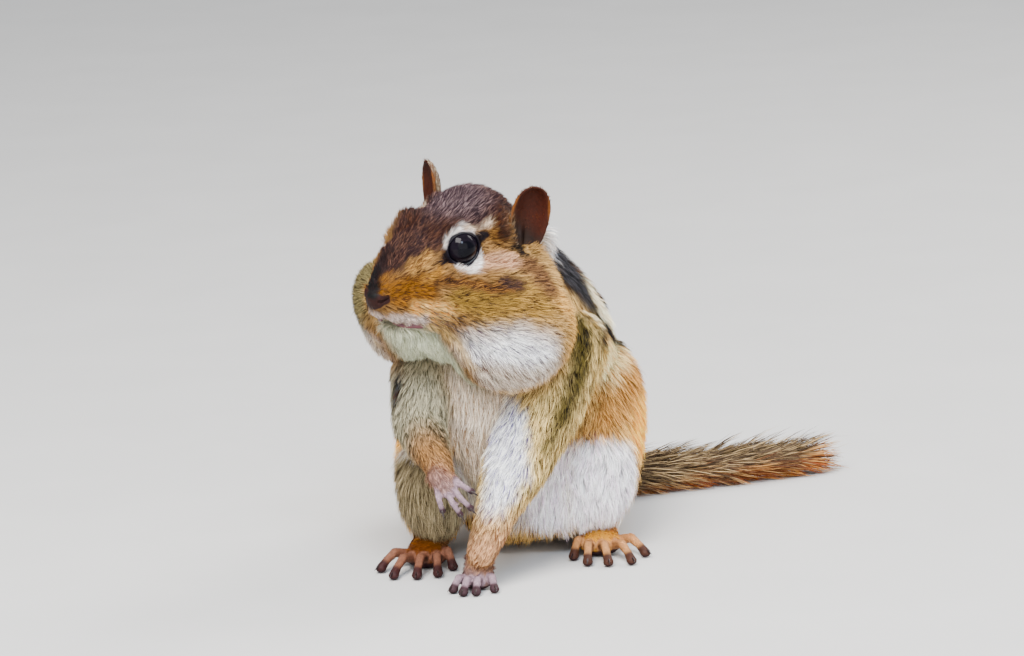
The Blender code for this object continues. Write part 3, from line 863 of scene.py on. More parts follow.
def region_weights(points):
    """How far each point belongs to each region, from its distance to the regions."""
    local = transform(points, HEAD.inverted())
    folded = local * (1, 0, 1) + np.abs(local) * (0, 1, 0)
    head = fuller(HEAD_LUMPS, (
        ("forehead", "bridge"), ("bridge", "nose_tip"), ("chin", "throat"), ("cheek", "pouch_back"),
        ("lip", "cheek"), ("cheekbone", "pouch_top"), ("cheekbone", "pouch_back"),
    ))
    right = [(np.array(RIGHT_CHEEK[0]), np.array(RIGHT_CHEEK[1]))]
    trunk = fuller(TRUNK_LUMPS, (
        ("breast", "belly"), ("ribs", "shoulders"), ("pelvis", "ribs"), ("pelvis", "rump"),
    ))
    gaps = {
        "head": np.minimum(from_balls(folded, head), from_balls(local, right)),
        "trunk": from_balls(points, trunk),
        "foreleg_left": path_gap(points, [(c, r) for c, r, d in LEFT_FORELEG]),
        "foreleg_right": path_gap(points, [(c, r) for c, r, d in RIGHT_FORELEG]),
        "haunch_left": from_balls(points, [(np.array(c), np.array(r)) for c, r, d in LEFT_HAUNCH]),
        "haunch_right": from_balls(points, [(np.array(c), np.array(r)) for c, r, d in RIGHT_HAUNCH]),
        "tail": path_gap(points, [(c, r) for c, r, d in TAIL]),
        "paws": gap_to_paws(points),
        "ear_left": gap_to_ear(points, 1),
        "ear_right": gap_to_ear(points, -1),
    }
    stacked = np.stack([gaps[name] for name in REGIONS], axis=1)
    stacked -= stacked.min(axis=1, keepdims=True)
    weights = np.exp(-stacked / 0.9)
    return weights / weights.sum(axis=1, keepdims=True)


class Skin:
    """The skin's own surface, for the marks that must lie on it."""

    tree = None


def on_skin(path, frame):
    """The path, each of its places moved to the nearest one on the skin."""
    moved = []
    for centre, radius in path:
        nearest = Skin.tree.find_nearest(frame @ Vector(centre))[0]
        moved.append((tuple(frame.inverted() @ nearest), radius))
    return moved


def over_eye(folded):
    """Each point's distance from the axis of its eye, and its angle round it from the front, over the top."""
    local = transform(folded, (HEAD.inverted() @ eye_frame(1)).inverted())
    distance = np.hypot(local[:, 0], local[:, 1])
    angle = np.degrees(np.arctan2(-local[:, 1], local[:, 0]))
    return np.where(local[:, 2] > -1.5, distance, 99.0), angle, local


SMALL_MARK = 3.4


def mark_head(coat, points, normals, inside):
    """The face's pattern, the same on both sides, in the head's own frame."""
    local = transform(points, HEAD.inverted())
    steady = local * (1, 0, 1) + np.abs(local) * (0, 1, 0)
    local = local + noise_vectors(local, 1.6, 21) * 0.45
    folded = local * (1, 0, 1) + np.abs(local) * (0, 1, 0)

    def mark(path, soft=0.8, amount=1.0, **values):
        if max(radius for place, radius in path) < SMALL_MARK:
            path = on_skin(path, HEAD)
        coat.lay(inside * near(folded, path, soft) * amount, **values)

    coat.lay(inside, ground=seen(166, 136, 94), tick=seen(84, 62, 40), share=0.30, length=2.7, width=0.13, lift=34)
    # Pouches, cheeks and throat.
    mark((((-12, 18, -16), 12), ((-14, 20, -28), 12)), 3,
         ground=seen(196, 168, 120), tick=seen(98, 76, 48), share=0.28, length=3.4)
    mark((((4, 19, -12), 5.5), ((-6, 23, -12.5), 5.5)), 3,
         ground=seen(174, 146, 88), tick=seen(88, 66, 38), share=0.34, length=3.0)
    mark((((8, 12.5, -8.5), 3.2), ((0, 18, -10), 3.4)), 1.5,
         ground=seen(160, 134, 74), tick=seen(80, 60, 34), share=0.32)
    mark((((7, 15, -20.5), 3.6), ((3, 22, -21.5), 4.8), ((-1, 24.5, -24), 5.0)), 3.8,
         ground=WHITE, tick=seen(126, 112, 134), share=0.22, length=3.4)
    mark((((5, 18, -28), 5), ((-4, 24, -31), 5)), 2.4,
         ground=seen(204, 194, 182), tick=seen(138, 118, 106), share=0.28, length=3.7)
    mark((((-3, 16, -36), 6), ((-8, 22, -35), 5)), 2.2, ground=BUFF, tick=BROWN, share=0.3, length=3.8)
    mark((((-14, 24, -14), 3.0), ((-16, 25, -24), 3.0), ((-12, 22, -33), 3.0)), 2.4,
         ground=seen(218, 184, 120), tick=seen(146, 108, 62), share=0.3)
    mark((((14, 0, -18), 7), ((6, 0, -26), 9.5), ((-4, 0, -30), 11)), 2.5,
         ground=THROAT, tick=seen(176, 178, 156), share=0.4, length=3.8)
    mark((((13.5, 8.5, -14.8), 1.1), ((10, 12, -18.5), 1.2), ((7, 13.5, -24.0), 1.2)), 1.4, 0.7,
         ground=seen(206, 184, 132), tick=BUFF, share=0.4, length=3.0)
    mark((((-9.1, 16.2, -6.0), 2.6), ((-12.1, 17.9, -7.7), 3.2), ((-12.0, 21.9, -11.8), 3.2)), 1.8,
         ground=seen(150, 120, 88), tick=seen(78, 54, 42), share=0.34, length=2.6)
    # The right cheek, on the far side, is painted duller and darker as painted shade.
    far_cheek_shade = smooth_step(-local[:, 1], 3, 8) * near(local, (((11, -13, -8), 6), ((8, -18, -16), 7)), 3)
    coat.lay(inside * far_cheek_shade, ground=seen(140, 130, 98), tick=seen(80, 72, 50), share=0.3)
    # Crown, and the pale streaks between it and the muzzle.
    mark((((16, 0, 1.5), 4.0), ((9, 0, 3.5), 6.4), ((2, 0, 5), 8.2), ((-6, 0, 5), 9.8), ((-16, 0, 3), 12)), 1.3,
         ground=CROWN_BROWN, tick=seen(126, 98, 82), share=0.24, length=2.2)
    mark((((5, 4.5, 6.6), 2.4), ((-2, 6.0, 6.6), 2.4)), 1.4,
         ground=seen(72, 46, 38), tick=seen(112, 82, 64), share=0.22)
    mark((((-8, 0, 8), 8.0),), 4, ground=VIOLET_GREY, tick=seen(150, 132, 132), share=0.26, length=2.4)
    mark((((9.1, 6.2, 1.5), 1.0), ((11.5, 6.3, 0.8), 1.4), ((14.7, 5.5, 0.5), 1.1)), 0.9,
         ground=seen(192, 158, 102), tick=BROWN, share=0.34, length=1.7)
    # Muzzle.
    mark((((20.5, 0.5, -3.6), 3.6), ((13.5, 6.0, -5.8), 4.0)), 1.2,
         ground=MUZZLE_ORANGE, tick=MUZZLE_BROWN, share=0.3, length=1.5)
    mark((((15.8, 6.5, -9.2), 1.9), ((11.5, 10.0, -11.2), 2.8)), 1.2,
         ground=seen(200, 174, 124), tick=OCHRE, share=0.35, length=1.9)
    mark((((21.2, 0, -9.4), 2.2), ((17.8, 4.5, -11.0), 1.5), ((14.8, 7.2, -12.4), 1.4)), 0.7,
         ground=seen(200, 188, 182), tick=seen(170, 154, 140), share=0.4, length=1.1)
    for path, soft, shade in ((BRIDGE_BROWN, 1.2, seen(58, 40, 38)), (BRIDGE_BLACK, 0.9, NOSE_BLACK)):
        coat.lay(inside * near(local, path, soft), ground=shade, tick=CROWN_BROWN, share=0.3, length=1.3)
    # Below the eye a brown band runs back to a darker patch, under a buff one that reaches the ear.
    mark((((9.1, 8.6, -2.2), 1.2), ((12.6, 7.4, -2.9), 1.2)), 0.8,
         ground=seen(180, 142, 72), tick=BROWN, share=0.3, length=1.7)
    mark((((11.0, 8.6, -3.8), 1.0), ((6.9, 10.7, -5.0), 1.3), ((2.8, 14.4, -6.7), 1.5),
          ((0.6, 16.7, -7.9), 1.7), ((-3.4, 18.6, -8.6), 2.0)), 0.9,
         ground=seen(86, 60, 34), tick=seen(160, 122, 66), share=0.34, length=2.2)
    mark((((-2.5, 17.2, -7.2), 1.3), ((-4.6, 19.0, -8.8), 2.0)), 1.1,
         ground=seen(80, 60, 56), tick=seen(124, 98, 72), share=0.36)
    mark((((-2.4, 12.9, -3.6), 1.7), ((-8.0, 14.6, -5.0), 2.4)), 1.1,
         ground=seen(200, 170, 144), tick=seen(150, 112, 88), share=0.34, length=2.0)
    mark((((-4.1, 9.2, 1.9), 1.5), ((-7.6, 11.0, 0.4), 1.6)), 0.8,
         ground=seen(166, 132, 80), tick=seen(92, 66, 38), share=0.36, length=1.8)
    mark_eye_surround(coat, steady + (folded - steady) * 0.4, inside)
    # Behind and in front of the ears.
    mark((((-9.4, 12.8, 0.6), 1.9), ((-11.0, 11.4, 3.0), 1.9), ((-13.2, 9.6, 4.8), 1.8)), 0.9,
         ground=seen(60, 34, 8), tick=seen(104, 64, 20), share=0.28, length=1.5)
    # The ear's notch is painted near-black as painted shade.
    mark((((-12.8, 14.4, -6.2), 1.1), ((-12.2, 14.0, -3.0), 2.0)), 0.6,
         ground=EAR_SHADE, tick=DARK_BROWN, share=0.2, length=1.2)
    mark((((-21.8, 13.5, -5.0), 3.6), ((-21.5, 12.0, 0.5), 3.4)), 1.0,
         ground=WHITE, tick=CREAM, share=0.3, length=2.8)
    coat.lay(inside * smooth_step(local[:, 0], 10, 20), width=0.11, lift=26)
    # Naked parts: the nose pad and the lips.
    mark((((22.5, 0, -5.2), 2.1), ((21.6, 2.1, -4.8), 1.6)), 0.15, bare=1.0, ground=NOSE_SKIN)
    top = inside * near(folded, (((21.0, 0, -2.4), 1.5), ((22.9, 0.5, -3.6), 1.1)), 0.7)
    coat.lay(top, ground=NOSE_BLACK)
    rim = near(folded, LIP_LINE, 0.9) ** 4 * smooth_step(folded[:, 1], 1.4, 3.0)
    coat.lay(inside * rim, bare=1.0, ground=LIP_SKIN)


def mark_eye_surround(coat, folded, inside):
    """White crescents that hug the lids over and under the eye, and dark streaks from its corners."""
    distance, angle, local = over_eye(folded)
    near_ring = 3.9
    over = np.interp(angle, (0, 12, 30, 60, 90, 115, 138, 150), (0, 0.4, 0.5, 0.55, 0.7, 0.9, 0.8, 0))
    under = np.interp(-angle, (30, 55, 80, 105, 130, 155, 170), (0, 0.5, 1.2, 1.9, 2.0, 1.3, 0))
    white = 1 - smooth_step(distance - near_ring - over - under, -0.6, 0.6)
    coat.lay(inside * white, ground=seen(238, 230, 228), tick=seen(206, 184, 172), share=0.26, length=1.4, width=0.11,
             lift=24)
    trail = near(folded, on_skin(BROW_TRAIL, HEAD), 0.7)
    coat.lay(inside * trail, ground=seen(206, 190, 172), tick=seen(130, 104, 84), share=0.34, length=1.7)
    flat = local * (1, 1, 0)
    for path in EYE_STREAKS:
        streak = near(flat, path, 0.4) * (distance < 20)
        coat.lay(inside * streak, ground=LID_SKIN, tick=DARK_BROWN, share=0.3, length=0.9)
    lids = 1 - smooth_step(distance, near_ring + 0.05, near_ring + 0.45)
    coat.lay(inside * lids, bare=1.0, ground=LID_SKIN)


BRIDGE_BROWN = (((17.5, -1.4, 0.2), 2.4), ((14.0, -1.2, 2.2), 1.8))
BRIDGE_BLACK = (((22.2, -1.0, -2.4), 2.0), ((18.8, -1.8, -0.8), 2.2))
BROW_TRAIL = (((-1.6, 8.8, 5.2), 0.9), ((-4.4, 9.3, 4.6), 1.1), ((-7.4, 10.0, 3.2), 0.9))
# In each eye's own frame: one streak behind it and one before it.
EYE_STREAKS = (
    (((-3.9, -0.5, 0), 1.9), ((-6.9, -0.5, 0), 0.9)),
    (((4.0, 0.9, 0), 2.0), ((6.8, 1.4, 0), 0.8)),
)


def from_spine(points):
    """How far along the spine each point lies, and its angle from the middle of the back, in degrees."""
    path = [(centre, 0.0) for centre in SPINE]
    gap, way, share = from_path(points, path)
    left = np.array((1.0, 0.0, 0.0))
    dorsal = unit(np.cross(left, way))
    nearest = np.zeros_like(points)
    spans = len(SPINE) - 1
    position = np.clip(share * spans, 0, spans - 1e-6)
    k = position.astype(int)
    joints = np.array(SPINE, float)
    nearest = joints[k] + (joints[k + 1] - joints[k]) * (position - k)[:, None]
    away = points - nearest
    angle = np.degrees(np.arctan2(away @ left, np.sum(away * dorsal, axis=1)))
    return share, angle, np.linalg.norm(away, axis=1)


def mark_trunk(coat, points, normals, inside):
    """Flanks, belly and the striped back."""
    warped = points + noise_vectors(points, 3.0, 31) * 0.7
    x, y, z = warped.T
    right = 1 - smooth_step(x, -4, 4)
    coat.lay(inside, ground=seen(218, 190, 136), tick=seen(138, 106, 66), share=0.28, length=5.0, width=0.17,
             lift=32)

    def mark(path, soft=2.0, **values):
        coat.lay(inside * near(warped, path, soft), **values)

    # The flank: a darker band slants down and forward, with gold above and orange below it.
    for side in (1, -1):
        mark([((side * px, py, pz), r) for (px, py, pz), r in FLANK_GOLD], 3,
             ground=seen(248, 226, 190), tick=seen(212, 178, 130), share=0.3)
        mark([((side * px, py, pz), r) for (px, py, pz), r in FLANK_BAND], 2.6,
             ground=seen(208, 170, 112), tick=seen(150, 112, 66), share=0.3)
        mark([((side * px, py, pz), r) for (px, py, pz), r in FLANK_ORANGE], 3,
             ground=seen(255, 200, 118), tick=seen(236, 168, 88), share=0.3)
    rump = smooth_step(y, 62, 82)
    coat.lay(inside * rump, ground=seen(176, 120, 62), tick=OCHRE, share=0.35)
    # The back.
    share, angle, radius = from_spine(warped)
    turned = np.abs(angle)
    stripe_angle = np.interp(share, (0.0, 0.25, 0.5, 1.0), (86, 83, 66, 42))
    across = np.radians(turned - stripe_angle) * radius
    lasting = smooth_step(share, 0.09, 0.14) * (1 - smooth_step(share, 0.84, 0.98))
    back = 1 - smooth_step(across, 3.5, 6.0)
    coat.lay(inside * back, ground=GREY, tick=OCHRE, share=0.34, length=4.4)
    coat.lay(inside * back * smooth_step(share, 0.35, 0.8), ground=seen(124, 90, 60), tick=OCHRE, share=0.3)
    coat.lay(inside * back * (1 - smooth_step(share, 0.0, 0.25)), ground=NAPE_GREY, tick=BLACK, share=0.34)
    reach = np.interp(share, (0.1, 0.3, 0.45), (4.6, 3.6, 2.1))
    dark = smooth_step(across, -reach - 3.9, -reach - 2.9) * (1 - smooth_step(across, 4.8, 5.8))
    coat.lay(inside * dark * lasting, ground=BLACK, tick=BROWN, share=0.16, length=4.2)
    pale = smooth_step(across, -reach - 0.4, -reach + 0.4) * (1 - smooth_step(across, 1.7, 2.5))
    coat.lay(inside * pale * lasting, ground=seen(230, 224, 204), tick=BUFF, share=0.2)
    middle = 1 - smooth_step(np.radians(turned) * radius, 1.4, 2.2)
    coat.lay(inside * middle * (1 - smooth_step(share, 0.8, 0.95)), ground=BLACK, tick=BROWN, share=0.15)
    # Behind each ear a white tuft, and grey below it.
    for path in GREY_NAPES:
        mark(path, 1.6, ground=NAPE_GREY, tick=BLACK, share=0.34)
    for path in WHITE_TUFTS:
        mark(path, 1.2, ground=WHITE, tick=seen(190, 200, 216), share=0.3, length=4.6, lift=58)
    # The belly and the chest.
    low = 1 - smooth_step(z, 25.5, 28.5)
    front = 1 - smooth_step(y, 27.5, 31.5)
    coat.lay(inside * low * front, ground=WHITE, tick=seen(222, 210, 220), share=0.3, length=6.0)
    # The right side of the white belly is painted grey-buff as painted shade.
    coat.lay(inside * low * front * right, ground=seen(176, 164, 138), tick=seen(126, 116, 94), share=0.35)
    chest = (1 - smooth_step(y, 17.5, 24)) * smooth_step(z, 20, 28)
    coat.lay(inside * chest, ground=seen(226, 216, 204), tick=seen(190, 172, 150), share=0.34, length=5.5)
    # A darker tan patch beside the right arm: painted shade on the chest between the arms.
    mark((((-13, 17, 33), 3.0), ((-10, 20, 24), 4.0)), 2.5,
         ground=seen(210, 198, 184), tick=seen(170, 148, 124), share=0.3)
    under = 1 - smooth_step(z, 2.0, 7.0)
    coat.lay(inside * under, length=3.2, lift=24)


FLANK_GOLD = (((22, 41, 42), 6), ((24, 55, 44), 7))
FLANK_BAND = (((27, 54, 38), 4.5), ((26, 42, 36.5), 4.5), ((21.5, 31, 32.5), 4.5), ((17, 26, 28.5), 3.5))
FLANK_ORANGE = (((29, 55, 26), 8), ((29, 43, 27), 6), ((27, 34, 25), 3))
# Left, then right. The head is turned, so the two sides differ.
WHITE_TUFTS = (
    (((8.0, 20.0, 78.0), 3.4), ((9.8, 23.0, 73.6), 3.2)),
    (((-15.5, 31.0, 76.0), 3.2),),
)
GREY_NAPES = (
    (((11.6, 26.5, 69.5), 3.4), ((14.3, 28.1, 65.6), 3.4), ((16.4, 29.5, 61.6), 3.2)),
    (((-18.0, 34.0, 70.0), 3.4), ((-20.0, 36.0, 64.0), 3.2)),
)


def mark_left_foreleg(coat, points, normals, inside):
    warped = points + noise_vectors(points, 2.2, 41) * 0.5

    def mark(path, soft, **values):
        coat.lay(inside * near(warped, path, soft), **values)

    coat.lay(inside, ground=seen(222, 202, 152), tick=seen(116, 98, 66), share=0.28, length=4.0, width=0.16, lift=30)
    mark((((-7, 11, 46), 6.0), ((-3.6, 9.5, 36), 6.0), ((-2.6, 6, 27), 4.8), ((-6.0, 3.5, 18), 2.4)), 2.0,
         ground=WHITE, tick=seen(150, 142, 176), share=0.22)
    # A dark olive band down the arm's rear edge: partly the fur's grizzled ticking, partly painted shade between the
    # arm and the flank.
    mark((((16.5, 19, 57), 3.2), ((16, 14.6, 47.3), 3.4), ((13.2, 11.4, 41), 3.0), ((10.0, 9.2, 36), 2.4),
          ((7.0, 8.0, 31), 1.6)), 1.8, ground=OLIVE, tick=BLACK, share=0.40)
    mark((((21.4, 22.5, 52.4), 2.6), ((22.4, 30, 51.4), 2.8)), 1.4, ground=BLACK, tick=BROWN, share=0.25)
    mark((((19.2, 26.4, 57.8), 2.8), ((21.2, 26.8, 55.4), 1.8)), 1.0, ground=seen(230, 224, 204), tick=BUFF, share=0.2)
    low = 1 - smooth_step(points[:, 2], 10, 22)
    coat.lay(inside * low, ground=seen(210, 176, 142), tick=seen(146, 108, 80), share=0.3)
    coat.lay(inside * (1 - smooth_step(points[:, 2], 8, 30)), length=1.7, width=0.13, lift=26)


def mark_right_foreleg(coat, points, normals, inside):
    warped = points + noise_vectors(points, 2.2, 41) * 0.5
    coat.lay(inside, ground=seen(184, 178, 158), tick=seen(110, 106, 90), share=0.24, length=4.0, width=0.17,
             lift=32)
    outer = near(warped, (((-28, 14, 43), 2.6), ((-27, 16, 49), 2.6)), 1.2)
    coat.lay(inside * outer, ground=seen(64, 76, 84), tick=BROWN, share=0.3)
    wrist = 1 - smooth_step(points[:, 1], -1, 9)
    coat.lay(inside * wrist, ground=seen(180, 146, 104), tick=seen(104, 80, 60), share=0.28, length=2.0,
             width=0.13, lift=26)


def mark_haunch(coat, points, normals, inside):
    mark_trunk(coat, points, normals, inside)
    warped = points + noise_vectors(points, 2.2, 41) * 0.5
    low = 1 - smooth_step(warped[:, 2], 24.5, 27.5)
    front = 1 - smooth_step(warped[:, 1] - 0.12 * np.abs(warped[:, 0]), 28.0, 32.5)
    pale = inside * low * front
    right = 1 - smooth_step(points[:, 0], -4, 4)
    coat.lay(pale, ground=WHITE, tick=seen(226, 216, 224), share=0.3, length=5.0)
    # The right haunch's white front is painted grey-buff as painted shade.
    coat.lay(pale * right, ground=seen(172, 160, 134), tick=seen(122, 112, 90), share=0.35)


def mark_tail(coat, points, normals, inside):
    coat.lay(inside, ground=seen(104, 90, 74), tick=seen(172, 154, 124), share=0.35, length=12.0, width=0.32,
             lift=34)
    coat.lay(inside * (1 - smooth_step(points[:, 2], 2.5, 5.0)), ground=RUST, tick=OCHRE, share=0.4, lift=20)


def mark_paws(coat, points, normals, inside):
    """Bright insteps, pale tops to the toes, and dark tips, sides and soles. The toes' pale tops and dark sides are
    partly their own colour and partly painted light from above, with painted shade between the toes, and the right
    hind foot is painted darker as painted shade.
    """
    fore = 1 - smooth_step(points[:, 1], 9.0, 11.5)
    coat.lay(inside, ground=seen(240, 186, 84), tick=seen(190, 130, 54), share=0.3, length=1.2, width=0.11, lift=24)
    # The right hind foot and its toes are painted darker as painted shade.
    shaded = 1 - smooth_step(points[:, 0], -8, -4)
    coat.lay(inside * shaded, ground=seen(150, 100, 32), tick=seen(100, 64, 24))
    coat.lay(inside * fore, ground=seen(176, 152, 148), tick=seen(122, 96, 92), share=0.34)
    hind = HIND_TOE * (1 - shaded[:, None]) + SHADED_TOE * shaded[:, None]
    toe = FORE_TOE * fore[:, None] + hind * (1 - fore[:, None])
    # Toe tops, facing up or forward, are painted paler and their sides darker: partly the toes' own colour, partly
    # painted light and painted shade between the toes.
    top = smooth_step(np.maximum(normals[:, 2], -normals[:, 1]), 0.1, 0.6)[:, None]
    for joints in DIGITS:
        gap, way, share = from_path(points, joints)
        on_digit = inside * (1 - smooth_step(gap, 0.25, 0.6))
        coat.lay(on_digit, ground=toe * top + TOE_SIDE * (1 - top), tick=toe * 0.8, share=0.35, length=0.8,
                 width=0.10)
        end = on_digit * smooth_step(share, 0.58, 0.86)
        coat.lay(end, ground=PAD_SKIN, bare=0.75)
    sole = inside * smooth_step(-normals[:, 2], 0.2, 0.6) * (1 - smooth_step(points[:, 2], 1.5, 3.0))
    coat.lay(sole, ground=PAD_SKIN, bare=1.0)


def mark_ear(side, coat, points, normals, inside):
    local = transform(points, ear_frame(side).inverted())
    facing = turn_only(normals, ear_frame(side).inverted())[:, 0]
    up = local[:, 2] / EAR_HEIGHT
    coat.lay(inside, ground=seen(126, 88, 62), tick=CREAM, share=0.22, length=1.2, width=0.10, lift=22)
    cup = inside * smooth_step(facing, -0.15, 0.25)
    coat.lay(cup, ground=EAR_SKIN, tick=seen(116, 70, 22), share=0.3, length=0.8, bare=0.3)
    # The bottom of the cup is painted near-black as painted shade in its hollow.
    ahead = local[:, 1] * side / EAR_HALF_WIDTH
    depth = 1 - smooth_step(up + 0.16 * ahead, 0.24, 0.58)
    coat.lay(cup * depth, ground=EAR_SHADE, bare=0.6)
    # The rim's lighter orange-brown is partly its fur and partly a painted rim highlight.
    rim = inside * smooth_step(np.abs(local[:, 1]) / EAR_HALF_WIDTH + 0.6 * (up - 0.6), 0.86, 0.98)
    coat.lay(rim, ground=seen(150, 106, 58), tick=seen(96, 60, 24), share=0.35, length=0.9)


def mark_left_ear(*given):
    mark_ear(1, *given)


def mark_right_ear(*given):
    mark_ear(-1, *given)


MARKERS = {
    "trunk": mark_trunk,
    "foreleg_left": mark_left_foreleg,
    "foreleg_right": mark_right_foreleg,
    "haunch_left": mark_haunch,
    "haunch_right": mark_haunch,
    "tail": mark_tail,
    "head": mark_head,
    "paws": mark_paws,
    "ear_left": mark_left_ear,
    "ear_right": mark_right_ear,
}
LEAST_WEIGHT = 0.01


def grown_coat(points, normals, weights):
    """Everything about the coat at these places."""
    coat = Coat(len(points))
    for name, mark in MARKERS.items():
        inside = weights[:, REGIONS.index(name)]
        index = np.flatnonzero(inside > LEAST_WEIGHT)
        part = coat.taken(index)
        mark(part, points[index], normals[index], inside[index])
        coat.put(index, part)
    return coat


def lie_of_coat(points, normals, weights):
    """The way that the hairs point, along the skin."""
    weights = dict(zip(REGIONS, weights.T))
    down = np.array((0.0, 0.0, -1.0))
    total = np.zeros_like(points)
    local = transform(points, HEAD.inverted())
    from_nose = unit(local - np.array((22.0, 0.0, -4.0)))
    throat = smooth_step(-local[:, 2], 11, 22) * (1 - smooth_step(np.abs(local[:, 1]), 7, 19))
    lower = smooth_step(-local[:, 2], 16, 34) * 0.7
    sink = np.maximum(throat, lower)[:, None]
    head_down = np.array(HEAD.inverted().to_3x3() @ Vector(down))
    head_way = turn_only(unit(from_nose * (1 - sink) + head_down * sink * 1.2), HEAD)
    total += weights["head"][:, None] * head_way
    gap, spine_way, share = from_path(points, [(centre, 0.0) for centre in SPINE])
    belly = smooth_step(-(points[:, 1] - 40), 0, 16)[:, None]
    trunk_way = unit(spine_way * (1 - belly) * 0.8 + down + np.array((0, -0.15, 0)))
    total += weights["trunk"][:, None] * trunk_way
    for name, limb in (("foreleg_left", LEFT_FORELEG), ("foreleg_right", RIGHT_FORELEG)):
        gap, way, share = from_path(points, [(c, r) for c, r, d in limb])
        total += weights[name][:, None] * unit(way + 0.15 * down)
    for name in ("haunch_left", "haunch_right"):
        forward = unit(np.array((0.0, -0.45, -1.0)))
        total += weights[name][:, None] * unit(forward + spine_way * 0.3)
    gap, way, share = from_path(points, [(c, r) for c, r, d in TAIL])
    total += weights["tail"][:, None] * way
    paw_way = np.zeros_like(points)
    nearest = np.full(len(points), 1e9)
    for joints in DIGITS:
        gap, way, share = from_path(points, joints)
        closer = gap < nearest
        nearest[closer] = gap[closer]
        paw_way[closer] = way[closer]
    total += weights["paws"][:, None] * paw_way
    for side, name in ((1, "ear_left"), (-1, "ear_right")):
        inside = transform(points, ear_frame(side).inverted())
        spread = np.stack([inside[:, 0] * 0, inside[:, 1] * 0.12, np.ones(len(points))], axis=1)
        total += weights[name][:, None] * unit(turn_only(spread, ear_frame(side)))
    total += noise_vectors(points, 7.0, 51) * 0.16 + noise_vectors(points, 2.2, 61) * 0.14
    total -= normals * np.sum(total * normals, axis=1, keepdims=True)
    return unit(total)


HAIRS_PER_MM2 = {
    "head": 24.0,
    "trunk": 10.0,
    "foreleg_left": 13.0,
    "foreleg_right": 13.0,
    "haunch_left": 10.5,
    "haunch_right": 10.5,
    "tail": 11.0,
    "paws": 14.0,
    "ear_left": 13.0,
    "ear_right": 13.0,
}


def mesh_arrays(thing):
    """Corner places and normals of each triangle of the mesh."""
    mesh = thing.data
    mesh.calc_loop_triangles()
    count = len(mesh.vertices)
    places = np.zeros(count * 3, np.float32)
    mesh.vertices.foreach_get("co", places)
    normals = np.zeros(count * 3, np.float32)
    mesh.vertices.foreach_get("normal", normals)
    triangles = np.zeros(len(mesh.loop_triangles) * 3, np.int32)
    mesh.loop_triangles.foreach_get("vertices", triangles)
    return places.reshape(-1, 3).astype(float), normals.reshape(-1, 3).astype(float), triangles.reshape(-1, 3)


class Surface:
    """The skin's vertices, its triangles and what grows on them."""

    def __init__(self, thing):
        self.places, self.normals, self.triangles = mesh_arrays(thing)
        self.weights = region_weights(self.places)
        self.coat = grown_coat(self.places, self.normals, self.weights)

    def scattered(self):
        """A mixer that gives any of the skin's values at roots spread as densely as each region needs."""
        corners = self.places[self.triangles]
        areas = np.linalg.norm(np.cross(corners[:, 1] - corners[:, 0], corners[:, 2] - corners[:, 0]), axis=1) / 2
        density = self.weights @ np.array([HAIRS_PER_MM2[name] for name in REGIONS])
        density *= 1 - self.coat.bare
        expected = areas * density[self.triangles].mean(axis=1) * COAT_SHARE
        counts = np.floor(expected + RANDOM.random(len(expected))).astype(int)
        chosen = self.triangles[np.repeat(np.arange(len(self.triangles)), counts)]
        first, second = RANDOM.random((2, len(chosen)))
        over = first + second > 1
        first[over], second[over] = 1 - first[over], 1 - second[over]
        shares = np.stack([1 - first - second, first, second], axis=1)

        def mixed(values):
            taken = values[chosen]
            return np.einsum("ij,ij...->i...", shares, taken)

        return mixed


def clump_pull(roots, size, seed):
    """For each root, the way to the middle of its clump, and a number from 0 to 1 that the clump shares."""
    warped = roots + noise_vectors(roots, size * 1.7, seed) * size * 0.6
    cells = np.floor(warped / size).astype(np.int64)
    keys = (cells[:, 0] * 73856093) ^ (cells[:, 1] * 19349663) ^ (cells[:, 2] * 83492791)
    names, index = np.unique(keys, return_inverse=True)
    count = np.bincount(index).astype(float)
    middle = np.stack([np.bincount(index, weights=roots[:, k]) / count for k in range(3)], axis=1)
    shared = np.random.default_rng(seed).random((len(names), 3))
    return middle[index] - roots, shared[index]


